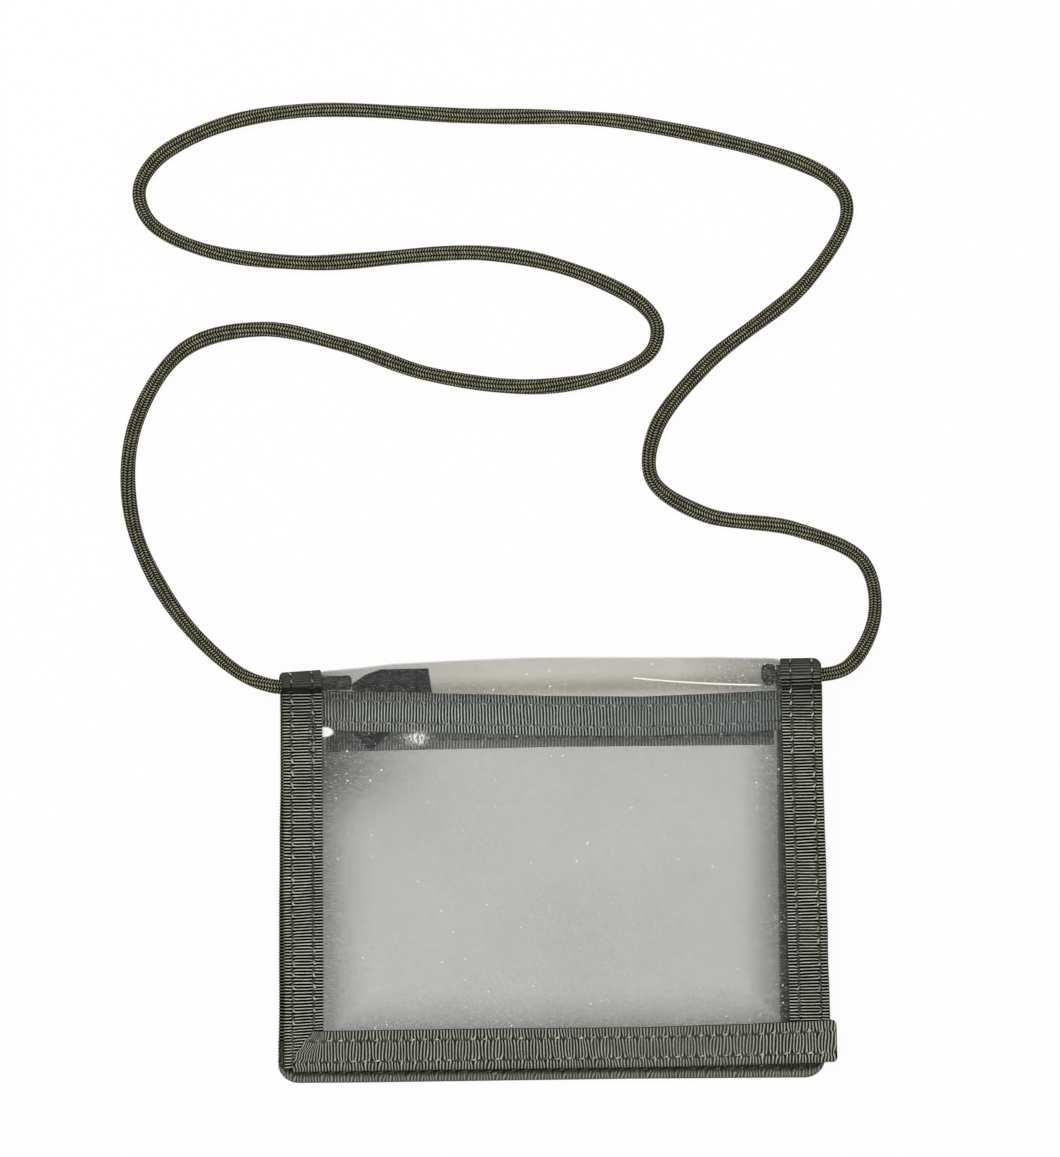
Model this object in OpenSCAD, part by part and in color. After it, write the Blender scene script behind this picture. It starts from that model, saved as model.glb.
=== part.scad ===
// Neck badge wallet: a clear strip folded double into a front and a back panel,
// bound in ribbed tape, with a pocket in each panel and a cord through the fold.
// Millimetres. X runs along the fold, Y up towards it, Z up from the table.

/* [Panels] */
// Width of a panel over its side tapes
panel_w = 114; // [106:1:124]
// Back panel, from the top of the fold to its lower edge
back_h = 87.4; // [84:0.1:94]
// How much shorter the front panel is than the back panel
front_short = 2.8; // [2:0.1:4]
// Turn of the back panel in its own plane, in degrees
back_yaw = 0.8; // [0:0.1:1]
// Radius of the back panel's lower corners
back_corner_r = 4.5; // [2:0.5:6]
// Radius of the front panel's lower corners
front_corner_r = 1; // [0.8:0.1:2]
// Gap between the two panels at the front panel's lower edge
closed_gap = 0.3; // [0.2:0.1:1]

/* [Clear sheets] */
// Thickness of the clear sheet
sheet_t = 0.3; // [0.2:0.05:0.4]
// Height that the clear fold crowns between the side tapes
fold_crown = 2.1; // [0.5:0.1:3]
// Gap between the outer sheet and the mouth tape, where a card goes in
mouth_slot = 0.3; // [0.2:0.05:0.4]

/* [Edge tape] */
// Thickness of the ribbed edge tape
tape_t = 0.6; // [0.5:0.05:0.7]
// Width of the side tape's outer leg
side_tape_w = 8.6; // [8:0.1:10]
// How much wider the side tape's inner leg is
leg_extra = 0.8; // [0:0.1:1]
// Width of the bottom tape
bottom_tape_w = 8.8; // [8:0.1:10]
// Length of the front bottom tape's folded tail past the side tape
tail_l = 1.1; // [0.5:0.1:2]
// How far the front bottom tape is cut back at its upper left corner
cut_top = 4.8; // [3:0.1:6]
// How far it is cut back at the foot of that slanted cut
cut_foot = 1.4; // [1:0.1:2.5]

/* [Mouth tape] */
// Thickness of the tape along a pocket's mouth
mouth_tape_t = 0.45; // [0.3:0.05:0.5]
// Width of the mouth tape
mouth_tape_w = 8.4; // [7:0.1:9]
// Distance from the top of the fold to the front mouth tape
front_mouth_d = 6.6; // [6.2:0.1:8]
// Distance from the top of the fold to the back mouth tape
back_mouth_d = 9.1; // [8:0.1:11]
// Sag of the mouth tape at its middle
mouth_sag = 0.4; // [0:0.1:1]

/* [Stitching] */
// Length of one stitch with its gap
stitch_pitch = 2.5; // [2:0.1:4]
// Width of the sewing thread
thread_w = 0.4; // [0.3:0.05:0.5]
// Depth of the furrow that the thread lies in
furrow_d = 0.15; // [0.1:0.01:0.2]
// Distance of the outer stitch row from the tape's edge
row_out = 2; // [1.5:0.1:2.5]
// Distance between the two stitch rows of a tape
row_step = 4.5; // [3.5:0.1:5]

/* [Cord] */
// Diameter of the neck cord
cord_d = 3; // [2.6:0.1:3.2]
// Space round the cord inside the fold
cord_clear = 0.3; // [0.2:0.05:0.5]
// Radius of the long knot at the left end
left_knot_r = 1.85; // [1.82:0.01:1.9]
// Length of the long knot at the left end
left_knot_l = 5.4; // [4:0.1:5.6]
// Radius of the round knot at the right end
right_knot_r = 2.5; // [2.2:0.05:2.55]
// Length of the round knot at the right end
right_knot_l = 2.8; // [2:0.1:4]

/* [Inner label] */
// Width of the dark label behind the front mouth tape
label_w = 16.8; // [12:0.1:18]
// Height of the label, from its top edge to its point
label_h = 16.8; // [14:0.1:18]
// Thickness of the label
label_t = 0.25; // [0.15:0.05:0.4]
// How far the label reaches above the fold's axis
label_rise = 2.4; // [1:0.1:2.4]

/* [Hidden] */

olive = [0.33, 0.33, 0.29];
olive_thread = [0.42, 0.42, 0.36];
mouth_grey = [0.42, 0.43, 0.41];
clear = [0.75, 0.76, 0.74, 0.45];
charcoal = [0.24, 0.25, 0.25];
cord_green = [0.30, 0.29, 0.23];

$fn = 48;
// Overrun of every cut past the face that it opens
cut = 1;
// Share of a tape's thickness that a lapped leg keeps
lap_t = tape_t / 2;
// Clearance between the thread and its furrow
thread_clear = 0.02;
// Height of the thread between two stitches
thread_low = 0.04;
thread_high = furrow_d - thread_clear;

stack_t = 2 * tape_t + 2 * sheet_t;
front_h = back_h - front_short;
cord_r = cord_d / 2;
fold_in_r = cord_r + cord_clear;
fold_r = fold_in_r + stack_t;
sheet_out_r = fold_r - tape_t;
sheet_in_r = sheet_out_r - sheet_t;
back_l = back_h - fold_r;
front_l = front_h - fold_r;
half_w = panel_w / 2;
leg_w = side_tape_w + leg_extra;
leg_x = half_w - leg_w;
// Tilt that brings the front panel's lower edge down onto the back panel
close_tilt = asin((2 * fold_in_r - closed_gap) / front_l);

// The box's middle is the origin, so the fold's axis is placed from the outermost corners
corner_x = half_w - back_corner_r;
corner_y = back_l - back_corner_r;
left_x = -corner_x * cos(back_yaw) - corner_y * sin(back_yaw) - back_corner_r;
right_x = max(half_w + tail_l, corner_x * cos(back_yaw) - corner_y * sin(back_yaw) + back_corner_r);
low_y = -corner_y * cos(back_yaw) - corner_x * sin(back_yaw) - back_corner_r;
high_y = max(fold_r, sheet_out_r + fold_crown);
axis_x = -(left_x + right_x) / 2;
axis_y = -(low_y + high_y) / 2;
axis_z = fold_r;

// Places of the three groups: the fold, the back panel below it and the front panel above it
module on_fold() {
    translate([axis_x, axis_y, axis_z]) children();
}

module on_back() {
    on_fold() rotate([0, 0, -back_yaw]) children();
}

module on_front() {
    on_fold() rotate([close_tilt, 0, 0]) mirror([0, 0, 1]) children();
}

// Keeps what lies on the panel's side of the fold's axis
module below_fold() {
    intersection() {
        children();
        translate([-panel_w, -2 * back_h, -2 * fold_r]) cube([2 * panel_w, 2 * back_h, 4 * fold_r]);
    }
}

// A slab between two depths below a panel's outer face
module layer(from, to) {
    translate([0, 0, from - fold_r]) linear_extrude(to - from) children();
}

// Panel outline that hangs l below the axis, inset on its sides and foot
module foot_outline(l, r, inset = 0) {
    w = panel_w - 2 * inset;
    foot = l - inset;
    round_r = r - inset;
    translate([-w / 2, -foot + round_r]) square([w, foot - round_r + fold_r]);
    translate([-w / 2 + round_r, -foot]) square([w - 2 * round_r, foot]);
    for (side = [-1, 1]) translate([side * (w / 2 - round_r), -foot + round_r]) circle(round_r);
}

// Strip of a given width along one side edge
module side_strip(side, w) {
    translate([side > 0 ? half_w - w : -half_w, -2 * back_h]) square([w, 2 * back_h + fold_r]);
}

module bottom_strip(l) {
    translate([-panel_w, -l - cut]) square([2 * panel_w, bottom_tape_w + cut]);
}

// One stitch row along +X from the origin, its thread rising in low bumps
module thread_row(run) {
    stitches = floor(run / stitch_pitch);
    bump_shares = [[0, 0], [0.25, 1], [0.75, 1]];
    crest = [for (i = [0:stitches - 1]) for (b = bump_shares)
        [(i + b[0]) * stitch_pitch, thread_low + b[1] * (thread_high - thread_low)]];
    profile = concat([[0, 0]], crest, [[stitches * stitch_pitch, thread_low], [stitches * stitch_pitch, 0]]);
    rotate([90, 0, 0]) linear_extrude(thread_w, center = true) polygon(profile);
}

// Furrow cut for such a row
module furrow_row(run) {
    w = thread_w + 2 * thread_clear;
    translate([-thread_clear, -w / 2, 0]) cube([run + 2 * thread_clear, w, furrow_d + cut]);
}

// Puts a row that runs along +X on a panel's outer and inner faces
module both_faces() {
    translate([0, 0, furrow_d - fold_r]) mirror([0, 0, 1]) children();
    translate([0, 0, stack_t - furrow_d - fold_r]) children();
}

// Side rows start below the axis, clear of the fold's own stitches
side_start = 1.5;
function side_run(l) = l - side_start - bottom_tape_w - thread_w;
rows = [row_out, row_out + row_step];

module side_rows(side, l) {
    for (row = rows) translate([side * (half_w - row), -side_start, 0]) rotate([0, 0, -90])
        both_faces() children();
}

bottom_rows = [(bottom_tape_w - row_step) / 2, (bottom_tape_w + row_step) / 2];

module bottom_seam_rows(l, start) {
    for (row = bottom_rows) translate([start, -l + row, 0]) both_faces() children();
}

// Backtack: short extra rows sewn over the inner row of the front left tape
tack_l = 4 * stitch_pitch;
// Distance of the backtack below the fold's axis
tack_d = 5;
tack_step = thread_w + 6 * thread_clear;

module tack_rows() {
    for (k = [-1, 1]) translate([-half_w + rows[1] + k * tack_step, -tack_d, 0]) rotate([0, 0, -90])
        both_faces() children();
}

module outer_window(l, r) {
    layer(tape_t, tape_t + sheet_t) foot_outline(l, r, tape_t);
}

// Folded tape round a side edge; the bottom tape is pressed into its foot
module side_tape(side, l, r, tacked = false) {
    difference() {
        intersection() {
            union() {
                layer(0, tape_t) side_strip(side, side_tape_w);
                layer(stack_t - tape_t, stack_t) side_strip(side, leg_w);
                layer(0, stack_t) side_strip(side, tape_t);
            }
            layer(0, stack_t) foot_outline(l - tape_t, r);
        }
        layer(-cut, lap_t) bottom_strip(l);
        layer(stack_t - lap_t, stack_t + cut) bottom_strip(l);
        side_rows(side, l) furrow_row(side_run(l));
        if (tacked) tack_rows() furrow_row(tack_l);
    }
}

// Folded tape round a panel's foot, over the side tapes' ends
module bottom_tape(l, r, start, run) {
    difference() {
        layer(0, stack_t) intersection() {
            foot_outline(l, r);
            bottom_strip(l);
        }
        layer(tape_t, stack_t - tape_t) foot_outline(l - tape_t, r);
        for (side = [-1, 1]) {
            layer(lap_t, tape_t + lap_t) intersection() {
                foot_outline(l - tape_t, r);
                side_strip(side, side_tape_w);
            }
            layer(stack_t - tape_t - lap_t, stack_t - lap_t) intersection() {
                foot_outline(l - tape_t, r);
                side_strip(side, leg_w);
            }
        }
        bottom_seam_rows(l, start) furrow_row(run);
    }
}

// Width over which a pocket's mouth opens beside each side tape
ramp_w = 5;
ramp_shares = [0, 0.08, 0.3, 0.6, 1];
mid_steps = 8;
mid_x = leg_x - ramp_w;
// How far a pocket stands open along its mouth, as a share, nothing at the side tapes
function open_share(x) = sin(90 * min(1, max(0, (leg_x - abs(x)) / ramp_w)));
side_stations = [for (s = ramp_shares) leg_x - s * ramp_w];
stations = concat(
    [for (x = side_stations) -x],
    [for (i = [1:mid_steps - 1]) -mid_x + 2 * mid_x * i / mid_steps],
    [for (i = [len(side_stations) - 1:-1:0]) side_stations[i]]
);
tape_stations = [for (i = [1:len(stations) - 2]) stations[i]];

// Height of the mouth's top edge, and depths below the panel's outer face
function mouth_y(x, d) = fold_r - d - mouth_sag * (1 - pow(x / half_w, 2));
function slot_z(x) = tape_t + sheet_t + mouth_slot * open_share(x);
function pocket_z(x) = tape_t + sheet_t + (mouth_slot + mouth_tape_t) * open_share(x);
function back_leg_z(x) = pocket_z(x) + sheet_t + mouth_tape_t;

// Skin round a run of closed rings of n points, with quads cut in two, and given end faces
function ring_faces(count, n) = [for (i = [0:count - 2]) for (j = [0:n - 1]) for (half = [0, 1])
    let (a = i * n + j, b = i * n + (j + 1) % n, c = b + n, e = a + n)
    half == 0 ? [a, b, c] : [a, c, e]];
function quad_faces(quads, offset, flip) = [for (q = quads)
    flip ? [q[3] + offset, q[2] + offset, q[1] + offset, q[0] + offset]
         : [q[0] + offset, q[1] + offset, q[2] + offset, q[3] + offset]];

// Folded tape over the pocket's mouth: a channel swept along it
module mouth_tape(d) {
    n = 8;
    quads = [[0, 1, 6, 7], [1, 2, 5, 6], [2, 3, 4, 5]];
    points = [for (x = tape_stations)
        let (top = mouth_y(x, d), web = top - mouth_tape_t, low = top - mouth_tape_w)
        let (z0 = slot_z(x), z1 = pocket_z(x), z2 = z1 + sheet_t, z3 = back_leg_z(x))
        for (p = [[low, z0], [top, z0], [top, z3], [low, z3], [low, z2], [web, z2], [web, z1], [low, z1]])
            [x, p[0], p[1] - fold_r]];
    count = len(tape_stations);
    polyhedron(points, concat(
        ring_faces(count, n),
        quad_faces(quads, 0, true),
        quad_faces(quads, (count - 1) * n, false)
    ));
}

fall_steps = 6;
// The clear sheets end inside the folded tapes
edge_x = half_w - tape_t;

// Pocket sheet: flat under the tapes, drawn away from the outer sheet towards its mouth
module pocket_sheet(l, d, r) {
    corner = half_w - r;
    xs = concat([-edge_x, -corner], stations, [corner, edge_x]);
    foot = -l + bottom_tape_w;
    rows_n = fall_steps + 3;
    function row_y(x, k) = let (top = mouth_y(x, d) - mouth_tape_t, low = mouth_y(x, d) - mouth_tape_w)
        k == 0 ? top : k <= fall_steps + 1 ? low + (foot - low) * (k - 1) / fall_steps
        : abs(x) > corner ? -l + r : -l + tape_t;
    function row_z(x, k) = let (fall = k <= 1 ? 1 : k > fall_steps ? 0 : cos(90 * (k - 1) / fall_steps))
        tape_t + sheet_t + (pocket_z(x) - tape_t - sheet_t) * fall;
    top_side = [for (x = xs) for (k = [0:rows_n - 1]) [x, row_y(x, k), row_z(x, k) - fold_r]];
    inner_side = [for (p = top_side) [p[0], p[1], p[2] + sheet_t]];
    total = len(top_side);
    last = len(xs) - 1;
    skin = [for (i = [0:last - 1]) for (k = [0:rows_n - 2]) for (half = [0, 1])
        let (a = i * rows_n + k, b = a + 1, c = b + rows_n, e = a + rows_n)
        half == 0 ? [a, b, c] : [a, c, e]];
    inner_skin = [for (f = skin) [f[2] + total, f[1] + total, f[0] + total]];
    function rim(a, b) = [[b + total, a + total, a], [b, b + total, a]];
    ends = [for (i = [0:last - 1]) for (f = concat(
        rim(i * rows_n, (i + 1) * rows_n),
        rim((i + 2) * rows_n - 1, (i + 1) * rows_n - 1))) f];
    flanks = [for (k = [0:rows_n - 2]) for (f = concat(
        rim(k + 1, k),
        rim(last * rows_n + k, last * rows_n + k + 1))) f];
    polyhedron(concat(top_side, inner_side), concat(skin, inner_skin, ends, flanks));
}

// Stitch row on the mouth tape: a thread that rises and dips along the tape's own facets
module mouth_thread(d, row, inner) {
    stitches = floor(2 * mid_x / stitch_pitch);
    start = -stitches * stitch_pitch / 2;
    xs = [for (i = [0:2 * stitches]) start + i * stitch_pitch / 2];
    tape_top = [for (x = tape_stations) [x, mouth_y(x, d)]];
    tape_slot = [for (x = tape_stations) [x, slot_z(x)]];
    tape_back = [for (x = tape_stations) [x, back_leg_z(x)]];
    points = [for (i = [0:2 * stitches])
        let (x = xs[i], y = lookup(x, tape_top) - row)
        let (h = (i % 2 == 0 ? thread_low : thread_high) * (inner ? 1 : open_share(x)))
        let (z0 = inner ? lookup(x, tape_back) : lookup(x, tape_slot) - h)
        for (p = [[-1, 0], [1, 0], [1, 1], [-1, 1]])
            [x, y + p[0] * thread_w / 2, z0 + p[1] * h - fold_r]];
    count = len(xs);
    polyhedron(points, concat(
        ring_faces(count, 4),
        quad_faces([[0, 1, 2, 3]], 0, true),
        quad_faces([[0, 1, 2, 3]], (count - 1) * 4, false)
    ));
}

mouth_rows = [(mouth_tape_w - row_step) / 2, (mouth_tape_w + row_step) / 2];

module mouth_seam(d) {
    for (row = mouth_rows) for (inner = [false, true]) mouth_thread(d, row, inner);
}

// Revolves a profile, drawn as radius against place along X, round the fold's axis
fold_sweep = 180 + close_tilt;

module round_fold(from, sweep) {
    rotate([90, 0, 90]) rotate([0, 0, from - 90]) rotate_extrude(angle = sweep) children();
}

module fold_tape(side) {
    round_fold(0, fold_sweep) difference() {
        union() {
            translate([sheet_out_r, side > 0 ? half_w - side_tape_w : -half_w]) square([tape_t, side_tape_w]);
            translate([fold_in_r, side > 0 ? leg_x : -half_w]) square([tape_t, leg_w]);
            translate([fold_in_r, side > 0 ? half_w - tape_t : -half_w]) square([stack_t, tape_t]);
        }
        for (row = rows) translate([0, side * (half_w - row) - thread_w / 2 - thread_clear]) {
            translate([fold_r - furrow_d, 0]) square([furrow_d + cut, thread_w + 2 * thread_clear]);
        }
    }
}

// The fold's stitches: short arcs in the furrows
module fold_seam(side) {
    arc = 360 * stitch_pitch / (2 * PI * fold_r);
    count = floor(fold_sweep / arc);
    first = (fold_sweep - count * arc) / 2;
    for (row = rows) for (i = [0:count - 1]) round_fold(first + (i + 1 / 8) * arc, arc * 3 / 4)
        translate([fold_r - furrow_d, side * (half_w - row) - thread_w / 2]) square([thread_high, thread_w]);
}

// Clear sheet over the fold: a half round that crowns between the side tapes
fold_steps = 14;
crown_steps = 10;

module fold_sheet() {
    inner_xs = [for (i = [1:crown_steps - 1]) -leg_x + 2 * leg_x * i / crown_steps];
    xs = concat([-edge_x, -leg_x], inner_xs, [leg_x, edge_x]);
    function crown(x) = abs(x) >= leg_x ? 0 : fold_crown * (1 - pow(x / leg_x, 2));
    function fold_point(x, r, k) = let (a = -90 + fold_sweep * k / fold_steps, y = r * cos(a))
        [x, y > 0 ? y * (1 + crown(x) / sheet_out_r) : y, r * sin(a)];
    n = 2 * (fold_steps + 1);
    points = [for (x = xs) for (j = [0:n - 1])
        j <= fold_steps ? fold_point(x, sheet_out_r, j) : fold_point(x, sheet_in_r, n - 1 - j)];
    quads = [for (k = [0:fold_steps - 1]) [k, k + 1, n - 2 - k, n - 1 - k]];
    polyhedron(points, concat(
        ring_faces(len(xs), n),
        quad_faces(quads, 0, true),
        quad_faces(quads, (len(xs) - 1) * n, false)
    ));
}

// Distance of the label's left edge from the wallet's left edge
label_inset = 15.7;
label_left = half_w - label_inset;
// Outline of the label, as shares of its width and height from its lower left
label_shares = [[0, 0.83], [0.17, 0.94], [0.36, 1], [0.96, 1], [1, 0.7], [0.21, 0], [0, 0.21]];

// Dark label on the back mouth tape, cut to a point at its foot
module label() {
    face = back_leg_z(0) + thread_high;
    layer(face, face + label_t)
        polygon([for (s = label_shares) [-label_left + s[0] * label_w, label_rise - (1 - s[1]) * label_h]]);
}

// Barrel of a knot along +X, its end faces as wide as the cord
module knot(l, r) {
    rise = r - cord_r;
    arc_r = (pow(l / 2, 2) + pow(rise, 2)) / (2 * rise);
    rotate([0, 90, 0]) rotate_extrude() {
        square([cord_r, l]);
        intersection() {
            translate([r - arc_r, l / 2]) circle(arc_r);
            translate([cord_r / 2, 0]) square([r, l]);
        }
    }
}

// Clearance between a knot and the side tape's inner leg
knot_gap = 0.3;
// How far the left knot hangs below the fold's axis
left_knot_drop = 0.7;
knot_x = leg_x - knot_gap;

// Route of the neck cord, from the left knot round to the right knot
cord_points = [
    [-47.3, 39.7, 3.6], [-55, 39.7, 3.6], [-58.5, 40, 3.5], [-65.5, 43, 2], [-78, 55.6, 1.6],
    [-87, 75, 1.6], [-86.2, 95, 1.6], [-75.5, 111, 1.6], [-59.3, 115, 1.6], [-42, 111.3, 1.6],
    [-24, 104.8, 1.6], [-1, 101.7, 1.6], [17, 104.8, 1.6], [23, 109, 1.6], [24, 114, 1.6],
    [20.6, 118.8, 1.6], [5.7, 126.3, 1.6], [-12, 130, 1.6], [-50.5, 128.8, 1.6], [-72, 132.3, 1.6],
    [-82, 138, 1.6], [-84.2, 144.5, 1.6], [-80.5, 151, 1.6], [-68, 157.6, 1.6], [-50, 160.7, 1.6],
    [-16, 159, 1.6], [21, 156.5, 1.6], [61, 144.2, 1.6], [64.5, 137.4, 1.6], [56, 122.9, 1.6],
    [34, 105.4, 1.6], [23.2, 91.8, 1.6], [22.4, 81.7, 1.6], [33, 74.2, 1.6], [52.2, 70.6, 1.6],
    [66.3, 63.5, 1.6], [68.5, 52, 1.6], [62.8, 41.6, 2.8], [55, 39.7, 3.6], [47.3, 39.7, 3.6]
];
cord_sides = 8;

// Smooth curve through four points in turn, spaced by the root of their distances
function knot_step(a, b) = sqrt(norm(b - a));
function blend(a, b, ta, tb, t) = a * (tb - t) / (tb - ta) + b * (t - ta) / (tb - ta);
function curve_at(p, i, u) =
    let (p1 = p[i], p2 = p[i + 1])
    let (p0 = i > 0 ? p[i - 1] : 2 * p1 - p2, p3 = i + 2 < len(p) ? p[i + 2] : 2 * p2 - p1)
    let (t1 = knot_step(p0, p1), t2 = t1 + knot_step(p1, p2), t3 = t2 + knot_step(p2, p3))
    let (t = t1 + u * (t2 - t1))
    let (a1 = blend(p0, p1, 0, t1, t), a2 = blend(p1, p2, t1, t2, t), a3 = blend(p2, p3, t2, t3, t))
    let (b1 = blend(a1, a2, 0, t2, t), b2 = blend(a2, a3, t1, t3, t))
    blend(b1, b2, t1, t2, t);
cord_path = concat(
    [for (i = [0:len(cord_points) - 2]) for (u = [0, 0.5]) curve_at(cord_points, i, u)],
    [cord_points[len(cord_points) - 1]]
);
function unit(v) = v / norm(v);

module cord_tube(path) {
    last = len(path) - 1;
    points = [for (i = [0:last])
        let (t = i == 0 || i == last ? [1, 0, 0] * sign(path[i][0]) * (i == 0 ? 1 : -1)
            : unit(path[i + 1] - path[i - 1]))
        let (side = unit(cross(t, [0, 0, 1])), up = cross(side, t))
        for (k = [0:cord_sides - 1])
            let (a = 360 * (k + 1 / 2) / cord_sides)
            path[i] + cord_r * (cos(a) * side + sin(a) * up)];
    polyhedron(points, concat(
        ring_faces(last + 1, cord_sides),
        [[for (k = [cord_sides - 1:-1:0]) k]],
        [[for (k = [0:cord_sides - 1]) last * cord_sides + k]]
    ));
}

module back_window() {
    color(clear) on_fold() below_fold() rotate([0, 0, -back_yaw]) outer_window(back_l, back_corner_r);
}

module back_pocket_sheet() {
    color(clear) on_back() pocket_sheet(back_l, back_mouth_d, back_corner_r);
}

module back_mouth_tape() {
    color(mouth_grey) on_back() mouth_tape(back_mouth_d);
}

module back_left_tape() {
    color(olive) on_fold() below_fold() rotate([0, 0, -back_yaw]) side_tape(-1, back_l, back_corner_r);
}

module back_right_tape() {
    color(olive) on_fold() below_fold() rotate([0, 0, -back_yaw]) side_tape(1, back_l, back_corner_r);
}

back_seam_start = -half_w + back_corner_r;
back_seam_run = panel_w - 2 * back_corner_r;

module back_bottom_tape() {
    color(olive) on_back() bottom_tape(back_l, back_corner_r, back_seam_start, back_seam_run);
}

module back_left_seam() {
    color(olive_thread) on_back() side_rows(-1, back_l) thread_row(side_run(back_l));
}

module back_right_seam() {
    color(olive_thread) on_back() side_rows(1, back_l) thread_row(side_run(back_l));
}

module back_bottom_seam() {
    color(olive_thread) on_back() bottom_seam_rows(back_l, back_seam_start) thread_row(back_seam_run);
}

module back_mouth_seam() {
    color(olive_thread) on_back() mouth_seam(back_mouth_d);
}

module front_window() {
    color(clear) on_front() below_fold() outer_window(front_l, front_corner_r);
}

module front_pocket_sheet() {
    color(clear) on_front() pocket_sheet(front_l, front_mouth_d, front_corner_r);
}

module front_mouth_tape() {
    color(mouth_grey) on_front() mouth_tape(front_mouth_d);
}

module front_left_tape() {
    color(olive) on_front() below_fold() side_tape(-1, front_l, front_corner_r, tacked = true);
}

module front_right_tape() {
    color(olive) on_front() below_fold() side_tape(1, front_l, front_corner_r);
}

front_seam_start = -half_w + cut_top;
front_seam_run = panel_w - cut_top;

// The front bottom tape ends in a slanted cut on the left and a folded tail on the right
module front_bottom_tape() {
    color(olive) on_front() union() {
        difference() {
            bottom_tape(front_l, front_corner_r, front_seam_start, front_seam_run);
            layer(-cut, stack_t + cut) translate([-half_w, -front_l]) polygon([
                [-cut, -cut],
                [cut_foot, -cut],
                [cut_foot, bottom_tape_w / 4],
                [cut_top, bottom_tape_w],
                [cut_top, bottom_tape_w + cut],
                [-cut, bottom_tape_w + cut]
            ]);
        }
        layer(0, stack_t) translate([half_w, -front_l]) square([tail_l, bottom_tape_w]);
        layer(0, lap_t) translate([half_w - front_corner_r, -front_l + front_corner_r])
            square([front_corner_r + tail_l, bottom_tape_w - front_corner_r]);
    }
}

module front_left_seam() {
    color(olive_thread) on_front() {
        side_rows(-1, front_l) thread_row(side_run(front_l));
        tack_rows() thread_row(tack_l);
    }
}

module front_right_seam() {
    color(olive_thread) on_front() side_rows(1, front_l) thread_row(side_run(front_l));
}

module front_bottom_seam() {
    color(olive_thread) on_front() bottom_seam_rows(front_l, front_seam_start) thread_row(front_seam_run);
}

module front_mouth_seam() {
    color(olive_thread) on_front() mouth_seam(front_mouth_d);
}

module fold_window() {
    color(clear) on_fold() fold_sheet();
}

module left_fold_tape() {
    color(olive) on_fold() fold_tape(-1);
}

module right_fold_tape() {
    color(olive) on_fold() fold_tape(1);
}

module left_fold_seam() {
    color(olive_thread) on_fold() fold_seam(-1);
}

module right_fold_seam() {
    color(olive_thread) on_fold() fold_seam(1);
}

module inner_label() {
    color(charcoal) on_fold() label();
}

module left_knot() {
    color(cord_green) on_fold() translate([-knot_x, 0, -left_knot_drop]) knot(left_knot_l, left_knot_r);
}

module right_knot() {
    color(cord_green) on_fold() translate([knot_x - right_knot_l, 0, 0]) knot(right_knot_l, right_knot_r);
}

module neck_cord() {
    color(cord_green) cord_tube(cord_path);
}

back_window();
back_pocket_sheet();
back_mouth_tape();
back_left_tape();
back_right_tape();
back_bottom_tape();
back_left_seam();
back_right_seam();
back_bottom_seam();
back_mouth_seam();
front_window();
front_pocket_sheet();
front_mouth_tape();
front_left_tape();
front_right_tape();
front_bottom_tape();
front_left_seam();
front_right_seam();
front_bottom_seam();
front_mouth_seam();
fold_window();
left_fold_tape();
right_fold_tape();
left_fold_seam();
right_fold_seam();
inner_label();
left_knot();
right_knot();
neck_cord();
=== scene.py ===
import math

import bpy
import numpy as np
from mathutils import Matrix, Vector


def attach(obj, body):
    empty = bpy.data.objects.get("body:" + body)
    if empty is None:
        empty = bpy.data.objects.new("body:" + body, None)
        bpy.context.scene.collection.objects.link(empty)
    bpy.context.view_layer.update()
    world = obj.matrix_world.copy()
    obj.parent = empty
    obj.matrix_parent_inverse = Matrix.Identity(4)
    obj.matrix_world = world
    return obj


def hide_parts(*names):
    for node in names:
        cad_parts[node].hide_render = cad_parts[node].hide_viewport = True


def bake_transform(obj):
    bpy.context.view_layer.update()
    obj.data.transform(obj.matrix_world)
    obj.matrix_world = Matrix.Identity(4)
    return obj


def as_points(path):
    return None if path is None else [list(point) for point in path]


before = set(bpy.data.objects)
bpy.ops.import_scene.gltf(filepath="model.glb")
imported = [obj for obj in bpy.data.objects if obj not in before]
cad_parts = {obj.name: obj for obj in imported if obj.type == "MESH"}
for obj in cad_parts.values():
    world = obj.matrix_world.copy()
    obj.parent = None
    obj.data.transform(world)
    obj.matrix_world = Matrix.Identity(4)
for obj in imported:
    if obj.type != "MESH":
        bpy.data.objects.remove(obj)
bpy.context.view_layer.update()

# Sizes in millimetres, as in the part; MM turns them into metres
MM = 0.001
AXIS = np.array([0.0, 39.7126, 3.6])
YAW = math.radians(0.8)
TILT = math.radians(2.335)
FOLD_R = 3.6
HALF_W = 57.0
SIDE_W = 8.6
LEG_W = 9.4
BOTTOM_W = 8.8
MOUTH_W = 8.4
STACK = 1.8
BACK_L = 83.8
FRONT_L = 81.0
LEG_X = HALF_W - LEG_W
RIB = 0.66
STITCH = 2.5
SIDE_ROWS = (2.0, 6.5)
BOTTOM_ROWS = (2.15, 6.65)
MOUTH_ROWS = (1.95, 6.45)
TAPE_T = 0.55
TAPE_EDGE_R = 0.7
MOUTH_TAPE_T = 0.4
MOUTH_STACK = 1.2
LAPPED_T = 0.27
VINYL_T = 0.26
WINDOW_DEPTH = 0.75
SHEET_HALF_W = HALF_W - 0.7
SHEET_FOOT = 0.9
# A pocket's depth where it is shut, and from its sheet to its mouth tape's inner face
SHUT_DEPTH = 0.9
MOUTH_FAR = 0.75
CORD_L = 650.0
CORD_HALF_W = 1.45
CORD_HALF_H = 1.25
BRAID_PITCH = 0.58
BRAID_COLUMNS = 10.0

# Camera: straight above, rolled as the photograph is

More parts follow.
